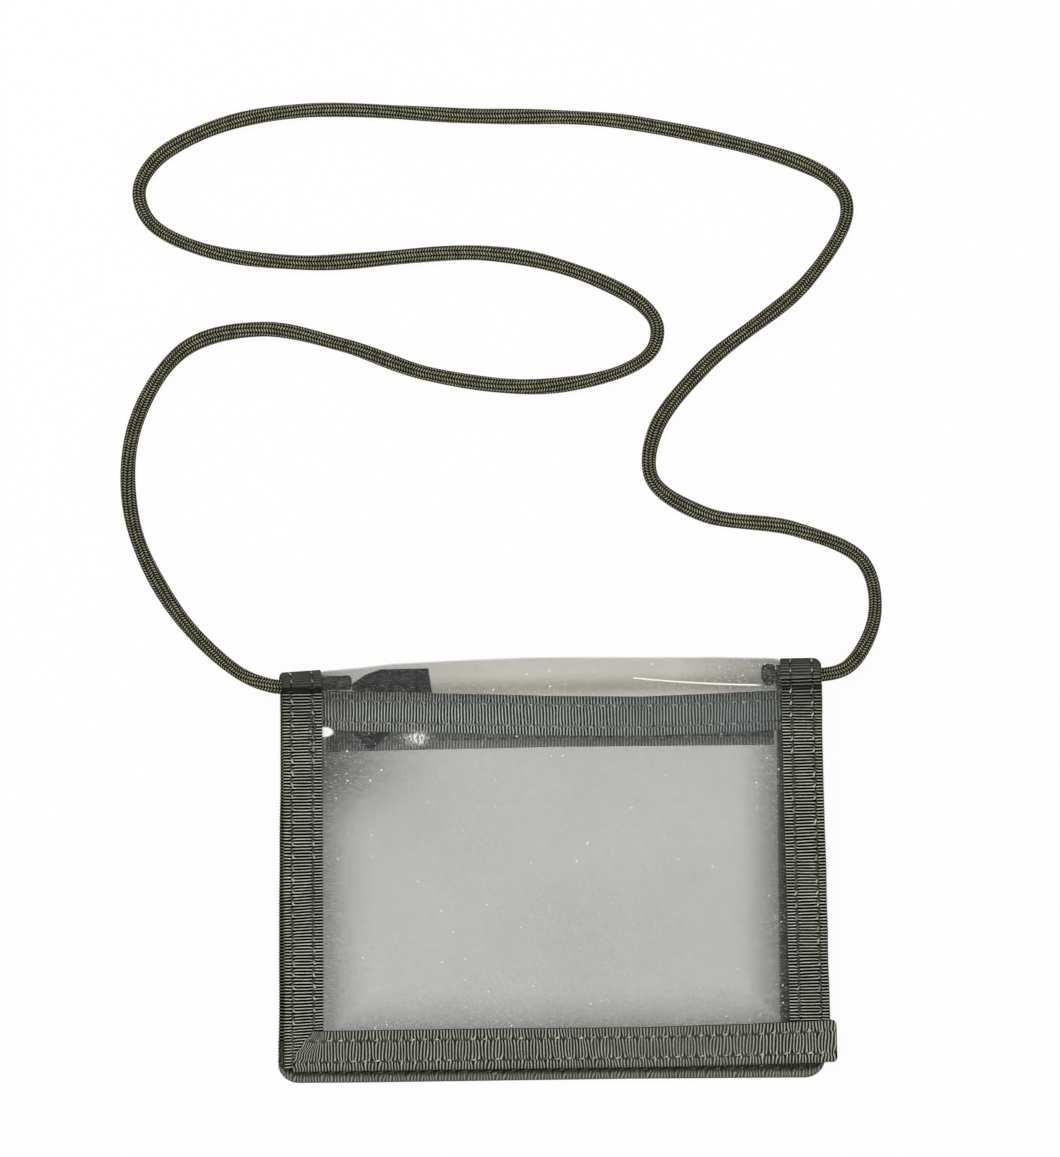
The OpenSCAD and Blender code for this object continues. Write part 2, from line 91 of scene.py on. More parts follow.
camera_data = bpy.data.cameras.new("overhead_camera")
camera = bpy.data.objects.new("overhead_camera", camera_data)
bpy.context.scene.collection.objects.link(camera)
camera_height = 2.0
view_width = 0.2226
camera_data.sensor_fit = "HORIZONTAL"
camera_data.sensor_width = 36.0
camera_data.lens = camera_data.sensor_width * camera_height / view_width
camera_data.clip_end = 20.0
camera.location = (-0.00375, 0.0614, camera_height + 0.004)
camera.rotation_euler = (0.0, 0.0, math.radians(-1.2))
bpy.context.scene.camera = camera
bpy.context.scene.view_settings.view_transform = "Standard"
bpy.context.scene.cycles.transparent_max_bounces = 32


# Shader maths


class Value:
    """A shader socket that adds a Math node for each sum written with it."""

    def __init__(self, paint, socket):
        self.paint = paint
        self.socket = socket

    def _math(self, operation, *others):
        inputs = [getattr(o, "socket", o) for o in others]
        made = self.paint.node("ShaderNodeMath", {"operation": operation}, dict(enumerate(inputs)))
        return Value(self.paint, made[0])

    def __add__(self, other):
        return self._math("ADD", self, other)

    def __radd__(self, other):
        return self._math("ADD", other, self)

    def __sub__(self, other):
        return self._math("SUBTRACT", self, other)

    def __rsub__(self, other):
        return self._math("SUBTRACT", other, self)

    def __mul__(self, other):
        return self._math("MULTIPLY", self, other)

    def __rmul__(self, other):
        return self._math("MULTIPLY", other, self)

    def __truediv__(self, other):
        return self._math("DIVIDE", self, other)

    def __pow__(self, other):
        return self._math("POWER", self, other)

    def __gt__(self, other):
        return self._math("GREATER_THAN", self, other)

    def abs(self):
        return self._math("ABSOLUTE", self)

    def cos(self):
        return self._math("COSINE", self)

    def sin(self):
        return self._math("SINE", self)

    def exp(self):
        return self._math("EXPONENT", self)

    def floor(self):
        return self._math("FLOOR", self)

    def fract(self):
        return self._math("FRACT", self)

    def least(self, other):
        return self._math("MINIMUM", self, other)

    def most(self, other):
        return self._math("MAXIMUM", self, other)

    def clamp(self):
        return self.least(1.0).most(0.0)

    def ramp(self, start, end):
        """From 0 at start to 1 at end."""
        return ((self - start) / (end - start)).clamp()

    def bell(self, middle, reach):
        """1 at the middle, falling off on both sides."""
        return (0.0 - ((self - middle) / reach) ** 2.0).exp()


class Paint:
    """One material and the nodes that colour it."""

    def __init__(self, name, roughness=0.6, **constants):
        self.material = bpy.data.materials.new(name)
        self.material.use_nodes = True
        self.tree = self.material.node_tree
        self.shader = self.tree.nodes["Principled BSDF"]
        self.shader.inputs["Roughness"].default_value = roughness
        for socket, value in constants.items():
            self.shader.inputs[socket.replace("_", " ")].default_value = value

    def node(self, kind, settings=None, inputs=None):
        made = self.tree.nodes.new(kind)
        for key, value in (settings or {}).items():
            setattr(made, key, value)
        for key, value in (inputs or {}).items():
            value = getattr(value, "socket", value)
            if isinstance(value, bpy.types.NodeSocket):
                self.tree.links.new(value, made.inputs[key])
            else:
                made.inputs[key].default_value = value
        return made.outputs

    def place(self):
        """Object coordinates as three values in millimetres."""
        where = self.node("ShaderNodeTexCoord")["Object"]
        parts = self.node("ShaderNodeSeparateXYZ", None, {0: where})
        return where, [Value(self, parts[i]) * 1000.0 for i in range(3)]

    def own(self, name):
        """A value kept on the piece's own mesh."""
        return Value(self, self.node("ShaderNodeAttribute", {"attribute_name": name})["Fac"])

    def around_and_along(self):
        parts = self.node("ShaderNodeSeparateXYZ", None, {0: self.node("ShaderNodeUVMap")["UV"]})
        return Value(self, parts[0]), Value(self, parts[1])

    def grain(self, scale, detail=2.0, where=None):
        """Noise from 0 to 1; scale counts its lumps in a millimetre."""
        inputs = {"Scale": scale * 1000.0, "Detail": detail}
        inputs["Vector"] = where if where is not None else self.node("ShaderNodeTexCoord")["Object"]
        return Value(self, self.node("ShaderNodeTexNoise", None, inputs)["Fac"])

    def scatter(self, where, scale):
        """Scattered dots: the distance to the nearest and a value picked for it."""
        settings = {"voronoi_dimensions": "2D"}
        cells = self.node("ShaderNodeTexVoronoi", settings, {"Vector": where, "Scale": scale * 1000.0})
        parts = self.node("ShaderNodeSeparateColor", None, {0: cells["Color"]})
        return Value(self, cells["Distance"]), Value(self, parts[0])

    def mix(self, factor, low, high):
        """A colour between two; each of the three can be a link."""
        made = self.tree.nodes.new("ShaderNodeMix")
        made.data_type = "RGBA"
        for socket, value in ((made.inputs[0], factor), (made.inputs[6], low), (made.inputs[7], high)):
            value = getattr(value, "socket", value)
            if isinstance(value, bpy.types.NodeSocket):
                self.tree.links.new(value, socket)
            elif socket is made.inputs[0]:
                socket.default_value = value
            else:
                socket.default_value = (*value, 1.0)
        return made.outputs[2]

    def set(self, socket, value):
        self.tree.links.new(getattr(value, "socket", value), self.shader.inputs[socket])

    def bump(self, height, distance, strength=1.0):
        inputs = {"Strength": strength, "Distance": distance * MM, "Height": height}
        self.set("Normal", self.node("ShaderNodeBump", None, inputs)["Normal"])


def edge_tape_paint(name, gap_shade, crest, shine, strength, cool=None):
    """Ribbed nylon: painted shade between the ribs, painted highlight on their crests."""
    paint = Paint(name, roughness=0.75, Specular_IOR_Level=0.04)
    fibre = paint.grain(6.0, 3.0)
    sheen = ((paint.grain(0.3, 2.0) - 0.5) * 2.0 + 0.5).clamp()
    lit = (paint.own("rib") ** 1.25 * (0.5 + fibre) * (0.9 + 0.2 * sheen)).clamp()
    # The crests' painted highlight colour, varied by a painted sheen
    highlight = paint.mix(sheen, crest, shine)
    if cool:
        # Cooler towards the right
        _, (x, _, _) = paint.place()
        highlight = paint.mix(x.ramp(-10.0, 40.0) * 0.7, highlight, cool)
    # From painted shade in the gaps to painted highlight on the crests
    paint.set("Base Color", paint.mix(lit, gap_shade, highlight))
    paint.bump(fibre, 0.03, strength)
    return paint.material


def thread_paint(name, dark, highlight):
    """Sewing thread: painted shade where it lies in its furrow, painted highlight where it rises at one end
    of a stitch.
    """
    paint = Paint(name, roughness=0.5, Specular_IOR_Level=0.3)
    ply = paint.grain(4.0, 2.0)
    # Share of painted highlight kept on each stitch's end
    stitch_glint = paint.own("stitch_glint")
    paint.set("Base Color", paint.mix((stitch_glint * (0.4 + 1.2 * ply)).clamp(), dark, highlight))
    paint.bump(ply, 0.05)
    return paint.material


def vinyl_paint(name):
    """Clear vinyl gone hazy: duller by its seams, browner round the fold, with dust and hair scratches;
    painted in two tones by height, with painted shade in its top left corner and the fold's crook, and
    painted glare near the fold's right and the mouth's left.
    """
    paint = Paint(name, roughness=0.3, Specular_IOR_Level=0.3)
    where, (x, y, z) = paint.place()
    inward = (LEG_X - x.abs()).least(y + 33.6).least(60.0 - y)
    seam = (1.0 - inward.ramp(0.0, 11.0)) ** 2.2
    fold = y.ramp(34.0, 37.5)
    # Painted crease shadow low in the fold
    crook_shadow = y.bell(38.4, 1.7)
    left = x.ramp(-8.0, -42.0)
    right = x.ramp(26.0, 40.0)
    # Painted shade in the top left corner
    corner = x.bell(-46.0, 12.0) * y.bell(24.0, 9.0)
    margin = x.ramp(40.0, 47.0) * (1.0 - fold)
    # One vinyl painted in two tones by height: the back's two sheets, shaded by the front's above them, get a
    # paler colour as painted light, and the front panel's two sheets a darker one
    upper = ((z - AXIS[2] - (y - AXIS[1]) * 0.02) * 2.0 + 0.5).clamp()
    cloud = paint.grain(0.03, 3.0)
    haze = paint.grain(0.4, 4.0)
    dust, pick = paint.scatter(where, 0.42)
    reach = 0.025 + 0.65 * (pick - 0.86)
    speck = ((reach - dust) * 30.0).clamp() * (pick > 0.86)
    fine_dust, choice = paint.scatter(where, 0.95)
    grit = ((0.02 + 0.1 * choice - fine_dust) * 25.0).clamp() * (choice > 0.45)
    mote = ((0.1 - fine_dust) * 25.0).clamp() * ((0.035 - choice) > 0.0)
    # The taut vinyl over the label has little dust
    clean = 1.0 - fold * left * 0.8
    speck = speck * clean
    grit = grit * clean
    stretch = {"Vector": where, "Rotation": (0.0, 0.0, 0.6), "Scale": (1.0, 14.0, 1.0)}
    turned = paint.node("ShaderNodeMapping", None, stretch)
    hair = ((paint.grain(0.35, 1.0, turned[0]) - 0.5).abs() * 30.0).clamp()
    scratch = (1.0 - hair) * 0.05
    tone = (0.5 + (cloud - 0.5) * 1.2 + (haze - 0.5) * 0.2).clamp()
    low = paint.mix(tone, (0.235, 0.24, 0.14), (0.275, 0.28, 0.175))
    low = paint.mix(fold, low, (0.52, 0.43, 0.0))
    high = paint.mix(fold, (0.045, 0.048, 0.044), (0.036, 0.038, 0.034))
    body = paint.mix(upper, low, high)
    # Painted glare on the top sheet: a bright line along the fold's right, and a bright blob and a patch of
    # sparkle below the mouth's left
    t = x - 17.8
    glare_line_y = AXIS[1] + 0.34 - 0.1184 * t + 0.0016 * t * t
    glare_line = y.bell(glare_line_y, 0.17) * ((t + 1.0).clamp() * ((27.0 - t) * 0.5).clamp())
    glare_blob = (1.6 - (((x + 47.6) / 1.75) ** 2.0 + ((y - 30.1) / 0.95) ** 2.0)).clamp()
    sparkle_patch = x.bell(-28.3, 2.7) * y.bell(28.4, 1.5)
    drawn = paint.node("ShaderNodeMapping", None, {"Vector": where, "Scale": (1.6, 0.5, 1.0)})
    sparkle = ((paint.grain(2.2, 2.0, drawn[0]) - 0.47) * 9.0).clamp() * sparkle_patch * 1.3
    top_glare = (glare_line * 1.3 + glare_blob * 1.3 + sparkle) * (z > 4.0)
    # White from dust, grit, hair scratches and painted glare
    white = (speck + grit + scratch * 8.0 + top_glare).clamp()
    dust_and_glare = (speck * 0.2 + grit * 0.07 + mote * 0.12 + scratch * 0.4 + top_glare).clamp()
    dust_and_glare_colour = paint.mix(white, body, (0.97, 0.97, 0.95))
    paint.set("Base Color", paint.mix(mote, dust_and_glare_colour, (0.03, 0.03, 0.025)))
    # Veil is thicker by the seams, by the right margin and over the fold, with painted shade in the top left
    # corner and a painted crease shadow in the fold's crook
    veil = 0.1 + seam * 0.08 + corner * 0.11 + margin * 0.035 + (cloud - 0.5) * 0.03
    veil = veil + fold * (0.085 + left * 0.05 + right * 0.08) + crook_shadow * 0.1
    paint.set("Alpha", (veil + dust_and_glare * 0.7).clamp())
    paint.bump(haze, 0.006, 0.4)
    return paint.material


def label_paint(name):
    """Smooth charcoal film, pale along its cut edge."""
    paint = Paint(name, roughness=0.42, Specular_IOR_Level=0.3)
    haze = paint.grain(0.5, 4.0)
    film = paint.mix(haze, (0.006, 0.0085, 0.0095), (0.013, 0.0165, 0.018))
    paint.set("Base Color", paint.mix(paint.own("rim"), film, (0.34, 0.35, 0.33)))
    paint.bump(haze, 0.02)
    return paint.material


def sealed_paint(name):
    """Nylon melted smooth, with the braid's fibres just showing."""
    paint = Paint(name, roughness=0.4, Specular_IOR_Level=0.4)
    smear = paint.grain(0.8, 4.0)
    paint.set("Base Color", paint.mix(smear, (0.002, 0.0025, 0.003), (0.008, 0.0095, 0.01)))
    paint.bump(smear, 0.1)
    return paint.material


def cord_paint(name):
    """Flat braid: slanted strands in lengthwise columns with a groove between them, painted dark between the
    strands and in the grooves as painted shade.
    """
    paint = Paint(name, roughness=0.6, Specular_IOR_Level=0.08)
    around, along = paint.around_and_along()
    run = along * CORD_L
    column = around * BRAID_COLUMNS
    part = column.fract()
    lean = 1.0 - 2.0 * ((column.floor() * 0.5).fract() * 2.0)
    slant = lean * (part - 0.5) * 0.75
    strand = ((run / BRAID_PITCH + slant) * (2.0 * math.pi)).cos() * 0.5 + 0.5
    groove = ((part * math.pi).sin()) ** 0.7
    fibre = paint.grain(5.0, 3.0)
    relief = strand * groove
    blotch = ((paint.grain(0.9, 2.0) - 0.5) * 2.4 + 0.5).clamp()
    # Random mottle, with painted shade where the cord runs along y
    mottle_and_shade = (0.2 + 1.6 * fibre) * (0.6 + 0.8 * blotch) * (1.0 - 0.25 * paint.own("dull"))
    shade = (relief ** 2.1 * mottle_and_shade).clamp()
    olive = paint.mix(paint.own("tan"), (0.64, 0.625, 0.4), (0.6, 0.37, 0.12))
    paint.set("Base Color", paint.mix(shade, (0.002, 0.002, 0.001), olive))
    paint.bump(relief, 0.28)
    return paint.material


# Each tape's crest and shine colours are painted highlight on the rib crests; its gap colour is painted shade
# between the ribs
EDGE_TAPE = edge_tape_paint(
    "olive_edge_tape", gap_shade=(0.0, 0.0, 0.0), crest=(0.84, 0.84, 0.69), shine=(0.98, 0.98, 0.88), strength=0.5
)
BOTTOM_TAPE = edge_tape_paint(
    "olive_bottom_tape", gap_shade=(0.011, 0.012, 0.009), crest=(0.54, 0.555, 0.455), shine=(0.62, 0.635, 0.535),
    strength=0.6,
)
MOUTH_TAPE = edge_tape_paint(
    "grey_mouth_tape", gap_shade=(0.003, 0.004, 0.004), crest=(0.85, 0.9, 0.825), shine=(0.93, 0.98, 0.905),
    strength=0.5, cool=(0.62, 0.71, 0.665),
)
THREAD = thread_paint("olive_thread", (0.035, 0.035, 0.028), (0.85, 0.85, 0.74))
SHADED_THREAD = thread_paint("shaded_thread", (0.035, 0.035, 0.028), (0.2, 0.2, 0.17))
MOUTH_THREAD = thread_paint("grey_thread", (0.17, 0.185, 0.17), (0.75, 0.8, 0.74))
VINYL = vinyl_paint("hazy_vinyl")
LABEL = label_paint("charcoal_label")
CORD = cord_paint("olive_braid")
SEALED = sealed_paint("sealed_cord_end")


# Making pieces


def deselect():
    if bpy.context.object and bpy.context.object.mode != "OBJECT":
        bpy.ops.object.mode_set(mode="OBJECT")
    bpy.ops.object.select_all(action="DESELECT")


def name_piece(name):
    piece = bpy.context.object
    piece.name = name
    piece.data.name = name
    return piece


def edit(piece):
    deselect()
    bpy.context.view_layer.objects.active = piece
    piece.select_set(True)
    bpy.ops.object.mode_set(mode="EDIT")
    bpy.ops.mesh.select_all(action="SELECT")


def keep_value(piece, name, values):
    layer = piece.data.attributes.new(name, "FLOAT", "POINT")
    layer.data.foreach_set("value", np.asarray(values, np.float32))


def laid_grid(name, across, along, shape, values=None):
    """A grid laid over a surface: shape gives points in mm, rows along by columns across."""
    deselect()
    bpy.ops.mesh.primitive_grid_add(x_subdivisions=across, y_subdivisions=along, size=2.0)
    piece = name_piece(name)
    flat = np.empty(len(piece.data.vertices) * 3)
    piece.data.vertices.foreach_get("co", flat)
    flat = flat.reshape(-1, 3)
    i = np.rint((flat[:, 0] + 1.0) / 2.0 * across).astype(int)
    j = np.rint((flat[:, 1] + 1.0) / 2.0 * along).astype(int)
    piece.data.vertices.foreach_set("co", (shape[j, i] * MM).ravel())
    for key, grid in (values or {}).items():
        keep_value(piece, key, grid[j, i])
    piece.data.update()
    return piece


def closed_round(piece):
    """Joins a grid's two long edges, caps its ends and points its faces outwards."""
    edit(piece)
    bpy.ops.mesh.remove_doubles(threshold=2e-7)
    bpy.ops.mesh.fill_holes(sides=0)
    bpy.ops.mesh.select_all(action="SELECT")
    bpy.ops.mesh.normals_make_consistent(inside=False)
    bpy.ops.object.mode_set(mode="OBJECT")
    bpy.ops.object.shade_smooth_by_angle(angle=math.radians(60.0))
    return piece


def thicken(piece, thickness):
    deselect()
    bpy.context.view_layer.objects.active = piece
    piece.select_set(True)
    wall = piece.modifiers.new("wall", "SOLIDIFY")
    wall.thickness = thickness * MM
    wall.offset = 0.0
    bpy.ops.object.modifier_apply(modifier="wall")
    bpy.ops.object.shade_smooth_by_angle(angle=math.radians(40.0))
    return piece


def bend_with_fold(piece):
    """Bakes a fold piece's transform into its mesh."""
    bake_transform(piece)
    return piece


def dress(piece, paint, slot, body, *nodes):
    """Paints a piece, puts it on its body and hides the nodes that it stands for."""
    piece.data.materials.clear()
    piece.data.materials.append(paint)
    if body:
        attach(piece, body)
    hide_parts(*nodes)
    return piece


def smooth_step(x, low, high):
    t = np.clip((x - low) / (high - low), 0.0, 1.0)
    return t * t * (3.0 - 2.0 * t)


def wave(a, b, seed):
    """Smooth wander of about one unit, the same on each run."""
    draw = np.random.RandomState(seed)
    total = 0.0
    for k in range(5):
        fa, fb, p = draw.uniform(0.3, 1.6, 3)
        total = total + np.sin(fa * a * (1 + k) * 0.6 + fb * b * 1.3 + p * 4.0) / (1 + 0.5 * k)
    return total / 2.2


# Where a panel's sizes lie in the scene: x across the panel, y up towards the fold, d below its outer face


def on_back(x, y, d):
    x, y, d = np.broadcast_arrays(x, y, d)
    # The table presses the stitches beneath nearly flat
    z = np.where(d < 0.0, d * 0.3, d) - FOLD_R
    # The sewn panel widens a little towards its foot and hangs lower at the left
    foot = np.clip(-y / BACK_L, 0.0, 1.0) ** 2
    x = x * (1.0 + 0.008 * foot)
    y = y - 0.4 * np.clip(0.3 - x / HALF_W, 0.0, 1.0) * foot**2
    x = x - 0.45 * np.clip(-x / HALF_W, 0.0, 1.0) * smooth_step(-y, 20.0, 60.0)
    c, s = math.cos(YAW), math.sin(YAW)
    return np.stack([x * c + y * s, -x * s + y * c, z], -1) + AXIS


def on_front(x, y, d):
    x, y, d = np.broadcast_arrays(x, y, d)
    z = FOLD_R - d
    # Its side edges lean outwards
    x = x + 0.6 * x / HALF_W * np.clip(-y / FRONT_L, 0.0, 1.0)
    c, s = math.cos(TILT), math.sin(TILT)
    return np.stack([x, y * c - z * s, y * s + z * c], -1) + AXIS


def on_fold(x, turn, d):
    """Round the fold: turn goes from the back panel's plane to the front's, in mm at the outer face."""
    x, turn, d = np.broadcast_arrays(x, turn, d)
    a = turn / FOLD_R - math.pi / 2
    r = FOLD_R - d
    return np.stack([x, r * np.cos(a), r * np.sin(a)], -1) + AXIS


FOLD_TURN = FOLD_R * (math.pi + TILT)
PANELS = {
    "back": ("back_panel", on_back, BACK_L),
    "front": ("front_panel", on_front, FRONT_L),
}
CORNERS = {"back": 4.5, "front": 1.0}


def meets_fold(panel, x, length):
    """The turned back panel's upper edge is cut level with the fold."""
    return x * math.tan(YAW) * np.clip(1.0 - length / 4.0, 0.0, 1.0) if panel == "back" else 0.0


def foot_height(x, corner_r):
    """Height of a panel's rounded lower corners above its foot."""
    reach = np.clip(np.abs(x) - (HALF_W - corner_r), 0.0, corner_r * 0.999)
    return corner_r - np.sqrt(corner_r**2 - reach**2)


# Ribbed tape


def folded_section(outer_w, inner_w, thick, stack, lip=None):
    """Closed outline of a folded tape: width from its folded edge, depth below its outer face."""
    lip = thick if lip is None else lip
    nick = 0.1
    hollow = 0.4 + thick
    top = [(w, 0.0) for w in np.linspace(outer_w - nick, TAPE_EDGE_R, 26)]
    turn = []
    for k in range(1, 8):
        angle = math.pi * k / 8
        turn.append((TAPE_EDGE_R * (1.0 - math.sin(angle)), stack / 2 * (1.0 - math.cos(angle))))
    under = [(w, stack) for w in np.linspace(TAPE_EDGE_R, inner_w - nick, 18)]
    inside = [(inner_w, stack - nick), (inner_w, stack - thick)]
    inside += [(hollow, stack - thick), (thick, stack - thick - nick)]
    inside += [(thick, thick + nick), (hollow, thick), (outer_w, lip), (outer_w, nick)]
    points = np.array(top + turn + under + inside)
    ribbed = np.array([1.0] * (len(top) + len(turn) + len(under)) + [0.0] * len(inside))
    return points, ribbed


def ribbed_tape(name, place, along, section, ribbed, rows, look, seed):
    """Sweeps a folded section along a tape and raises its ribs.

    section is rows by points by (width, depth) in mm; look sets rib depth, wander and contrast.
    """
    tangent = np.roll(section, -1, 1) - np.roll(section, 1, 1)
    tangent = tangent / np.maximum(np.linalg.norm(tangent, axis=2, keepdims=True), 1e-9)
    w, d = section[0, :, 0], section[0, :, 1]
    area = np.sum(w * np.roll(d, -1) - np.roll(w, -1) * d)
    normal = np.sign(area) * np.stack([tangent[..., 1], -tangent[..., 0]], -1)
    width = section[..., 0]
    far = section[..., 1] > STACK / 2
    length = along[:, None] + 0.0 * width
    phase = length / RIB + look["wander"] * wave(length * 0.12, width * 0.1, seed)
    by_rows = sum(np.exp(-((width - row) ** 2)) for row in rows)
    phase = phase + look["tangle"] * wave(length * 1.1, width * 0.9, seed + 5) * (0.25 + 0.75 * by_rows)
    furrow = np.zeros_like(width)
    glint = np.zeros_like(width)
    for k, row in enumerate(rows):
        near = np.exp(-(((width - row) / 0.2) ** 2))
        furrow = np.maximum(furrow, near)
        pull = np.sin(2 * math.pi * (length / STITCH + 0.37 * k)) * np.tanh((width - row) / 0.25)
        phase = phase + look["pull"] * pull * np.exp(-(((width - row) / look["reach"]) ** 2))
        # Painted highlights where the tape puckers up between its stitches
        drift = 2.3 * k + 1.2 * wave(length * 0.6, 0.0, seed + k)
        puckered = 0.5 + 0.5 * np.sin(2 * math.pi * length / STITCH + drift)
        glint = np.maximum(glint, puckered**2 * np.exp(-(((width - row) / 0.5) ** 2)))
    crest = (0.5 + 0.5 * np.cos(2 * math.pi * phase)) ** look["narrow"]
    strength = look["strength"](length, width, far)
    relief = (look["depth"] * (crest - 1.0) * strength - 0.12 * furrow) * ribbed[None, :]
    # The rib value is painted light and shade: highlight on the crests, shade between the ribs, along the
    # stitch furrows and by the folded edge
    edge = np.exp(-np.minimum(width, 3.0) / 0.25)
    mean = look["mean"](length, width, far)
    value = mean + (crest - mean) * strength
    value = value * (1.0 - look["furrow"] * furrow) * (1.0 - look.get("dark_edge", 0.35) * edge)
    value = value + look["glint"] * glint * crest
    # Painted highlight along the inner cut edge
    if "cut_edge" in look:
        value = value + 0.35 * smooth_step(width, look["cut_edge"] - 0.35, look["cut_edge"] - 0.1)
    # What shows of the back's tape beside the front's lies in its shade
    value = value * (1.0 - look.get("strip", 0.0) * (1.0 - smooth_step(width, 1.5, 2.2)))
    if "shadow" in look:
        value = value * (1.0 - 0.65 * smooth_step(width, *look["shadow"]))
    value = np.where(ribbed[None, :] > 0, value, 0.12)
    moved = section + normal * relief[..., None]
    moved = np.concatenate([moved, moved[:, :1]], 1)
    value = np.concatenate([value, value[:, :1]], 1)
    shape = place(along[:, None], moved[..., 0], moved[..., 1])
    piece = laid_grid(name, section.shape[1], len(along) - 1, shape, {"rib": value})
    return closed_round(piece)


def steps(start, end, per_rib=6):
    return np.linspace(start, end, max(12, int(abs(end - start) / RIB * per_rib)))


def plain(value):
    """The same value all over a tape."""
    return lambda length, width, far: value + 0.0 * width


SIDE_LOOK = {
    "depth": 0.2, "wander": 0.5, "pull": 0.24, "reach": 0.5, "tangle": 0.06, "narrow": 8.3,
    "strength": plain(1.2), "mean": plain(0.03), "furrow": 0.75, "glint": 0.2,
}


def inner_leg_strength(length, width, far):
    """The back's inner leg, seen past the front's tape, is smooth."""
    return 1.2 - 0.9 * smooth_step(width, 7.4, 8.2)


def inner_leg_mean(length, width, far):
    return 0.03 + 0.16 * smooth_step(width, 7.4, 8.2)


def inboard(width):
    """How far the front's left tape lies inboard of the back's."""
    return 0.75 - 0.2 * width / SIDE_W


def side_x(panel, side, width, length):
    """The front's left tape comes back out towards the foot."""
    if panel == "back" or side > 0:
        return side * (HALF_W - width)
    foot = np.clip(length / FRONT_L, 0.0, 1.0)
    return side * (HALF_W - width - (1.0 - foot) * inboard(width) + foot * 0.35 * width / SIDE_W)


def side_tape(name, panel, side, seed, strength=None, inner_w=LEG_W):
    body, on_panel, panel_l = PANELS[panel]
    along = steps(0.0, panel_l - 1.0, 7)
    points, ribbed = folded_section(SIDE_W, inner_w, TAPE_T, STACK)
    section = np.repeat(points[None], len(along), 0)
    # The foot is pressed flat where the bottom tape laps over it
    pressed = smooth_step(along, panel_l - BOTTOM_W - 0.5, panel_l - BOTTOM_W)[:, None]
    middle = STACK / 2
    section[..., 1] = middle + (section[..., 1] - middle) * (1.0 - 0.42 * pressed)
    sway = 0.12 * wave(along * 0.12, 0.0, seed)
    # Painted shade by the folded edge, deeper on the left
    look = dict(SIDE_LOOK, dark_edge=0.9 if side < 0 else 0.5)
    if panel == "back":
        look.update(strip=0.5, strength=inner_leg_strength, mean=inner_leg_mean, cut_edge=inner_w)
    if strength:
        look["strength"] = strength

    def place(length, width, depth):
        # The outer edge follows the panel's rounded lower corner
        r = CORNERS[panel]
        above = np.clip(panel_l - length, 0.0, r)
        cut = r - np.sqrt(r**2 - (r - above) ** 2)
        width = cut + width * (SIDE_W - cut) / SIDE_W + sway[:, None] * np.exp(-width / 6.0)
        x = side_x(panel, side, width, length)
        return on_panel(x, -length + meets_fold(panel, x, length), depth)

    piece = ribbed_tape(name, place, along, section, ribbed, SIDE_ROWS, look, seed)
    return dress(piece, EDGE_TAPE, "edge_tape", body, name)


def fold_x(side, width, turn):
    """Shifts the left tape over from the back's place to the front's."""
    over = smooth_step(turn, 2.0, FOLD_TURN - 1.0) if side < 0 else 0.0
    return side * (HALF_W - width - over * inboard(width))


def fold_pull(side, shape, width):
    """The tapes lie flatter than round over the fold, the left one more so."""
    beyond = np.maximum(shape[..., 1] - AXIS[1], 0.0)
    share = width / SIDE_W
    pull = 0.2 * np.exp(-((width / 0.9) ** 2)) - 0.06 if side > 0 else 0.16 - 0.12 * share
    shape[..., 1] -= beyond * pull
    return shape


def fold_tape(name, side, seed, strength, mean):
    along = steps(0.0, FOLD_TURN)
    points, ribbed = folded_section(SIDE_W, LEG_W, TAPE_T, STACK)
    section = np.repeat(points[None], len(along), 0)
    look = dict(SIDE_LOOK, strength=strength, mean=mean, glint=0.0)

    def place(length, width, depth):
        return fold_pull(side, on_fold(fold_x(side, width, length), length, depth), width)

    piece = ribbed_tape(name, place, along, section, ribbed, SIDE_ROWS, look, seed)
    return bend_with_fold(dress(piece, EDGE_TAPE, "edge_tape", None, name))


BOTTOM_LOOK = {
    "depth": 0.15, "wander": 0.7, "pull": 0.3, "reach": 0.6, "tangle": 0.42, "narrow": 3.6,
    "strength": plain(1.0), "mean": plain(0.3), "furrow": 0.5, "glint": 0.5,
}


def foot_sag(panel, x, width):
    """The front's bottom tape sags between its ends, its upper edge more than its lower."""
    if panel == "back":
        return 0.0
    share = width / BOTTOM_W
    places = [-57.0, -47.0, -15.0, 19.0, 40.0, 57.0]
    upper = np.interp(x, places, [0.0, 0.25, 0.45, 0.85, 0.6, 0.1])
    lower = np.interp(x, places, [0.0, 0.0, 0.2, 0.5, 0.4, 0.3])
    return upper * share + lower * (1.0 - share)


def bottom_tape(name, panel, seed, left, right, corner_r, look, start_at=None):
    """A panel's bottom tape; start_at gives its cut left end across its width."""
    body, on_panel, panel_l = PANELS[panel]
    along = steps(left, right)
    thin, ribbed = folded_section(BOTTOM_W, BOTTOM_W, LAPPED_T, STACK)
    thick, _ = folded_section(BOTTOM_W, BOTTOM_W, LAPPED_T, STACK, lip=TAPE_T)
    middle = smooth_step(-np.abs(along), -LEG_X - 0.2, -LEG_X + 0.2)[:, None, None]
    section = thin[None] + (thick - thin)[None] * middle
    corner = foot_height(along, corner_r)[:, None]
    top = 0.0
    if panel == "front":
        # The tail's own end is rounded above and below
        reach = np.clip(along - (right - corner_r), 0.0, 0.999 * corner_r)[:, None]
        corner = top = corner_r - np.sqrt(corner_r**2 - reach**2)

    def place(length, width, depth):
        x = length + 0.0 * width
        if start_at is not None:
            shift = start_at(width) - left
            x = x + shift * (1.0 - smooth_step(x, left, left + 7.5))
        height = corner + width * (BOTTOM_W - corner - top) / BOTTOM_W
        return on_panel(x, -panel_l + height - foot_sag(panel, x, width), depth)

    piece = ribbed_tape(name, place, along, section, ribbed, BOTTOM_ROWS, look, seed)
    return dress(piece, BOTTOM_TAPE, "edge_tape", body, name)


# Mouth of a pocket


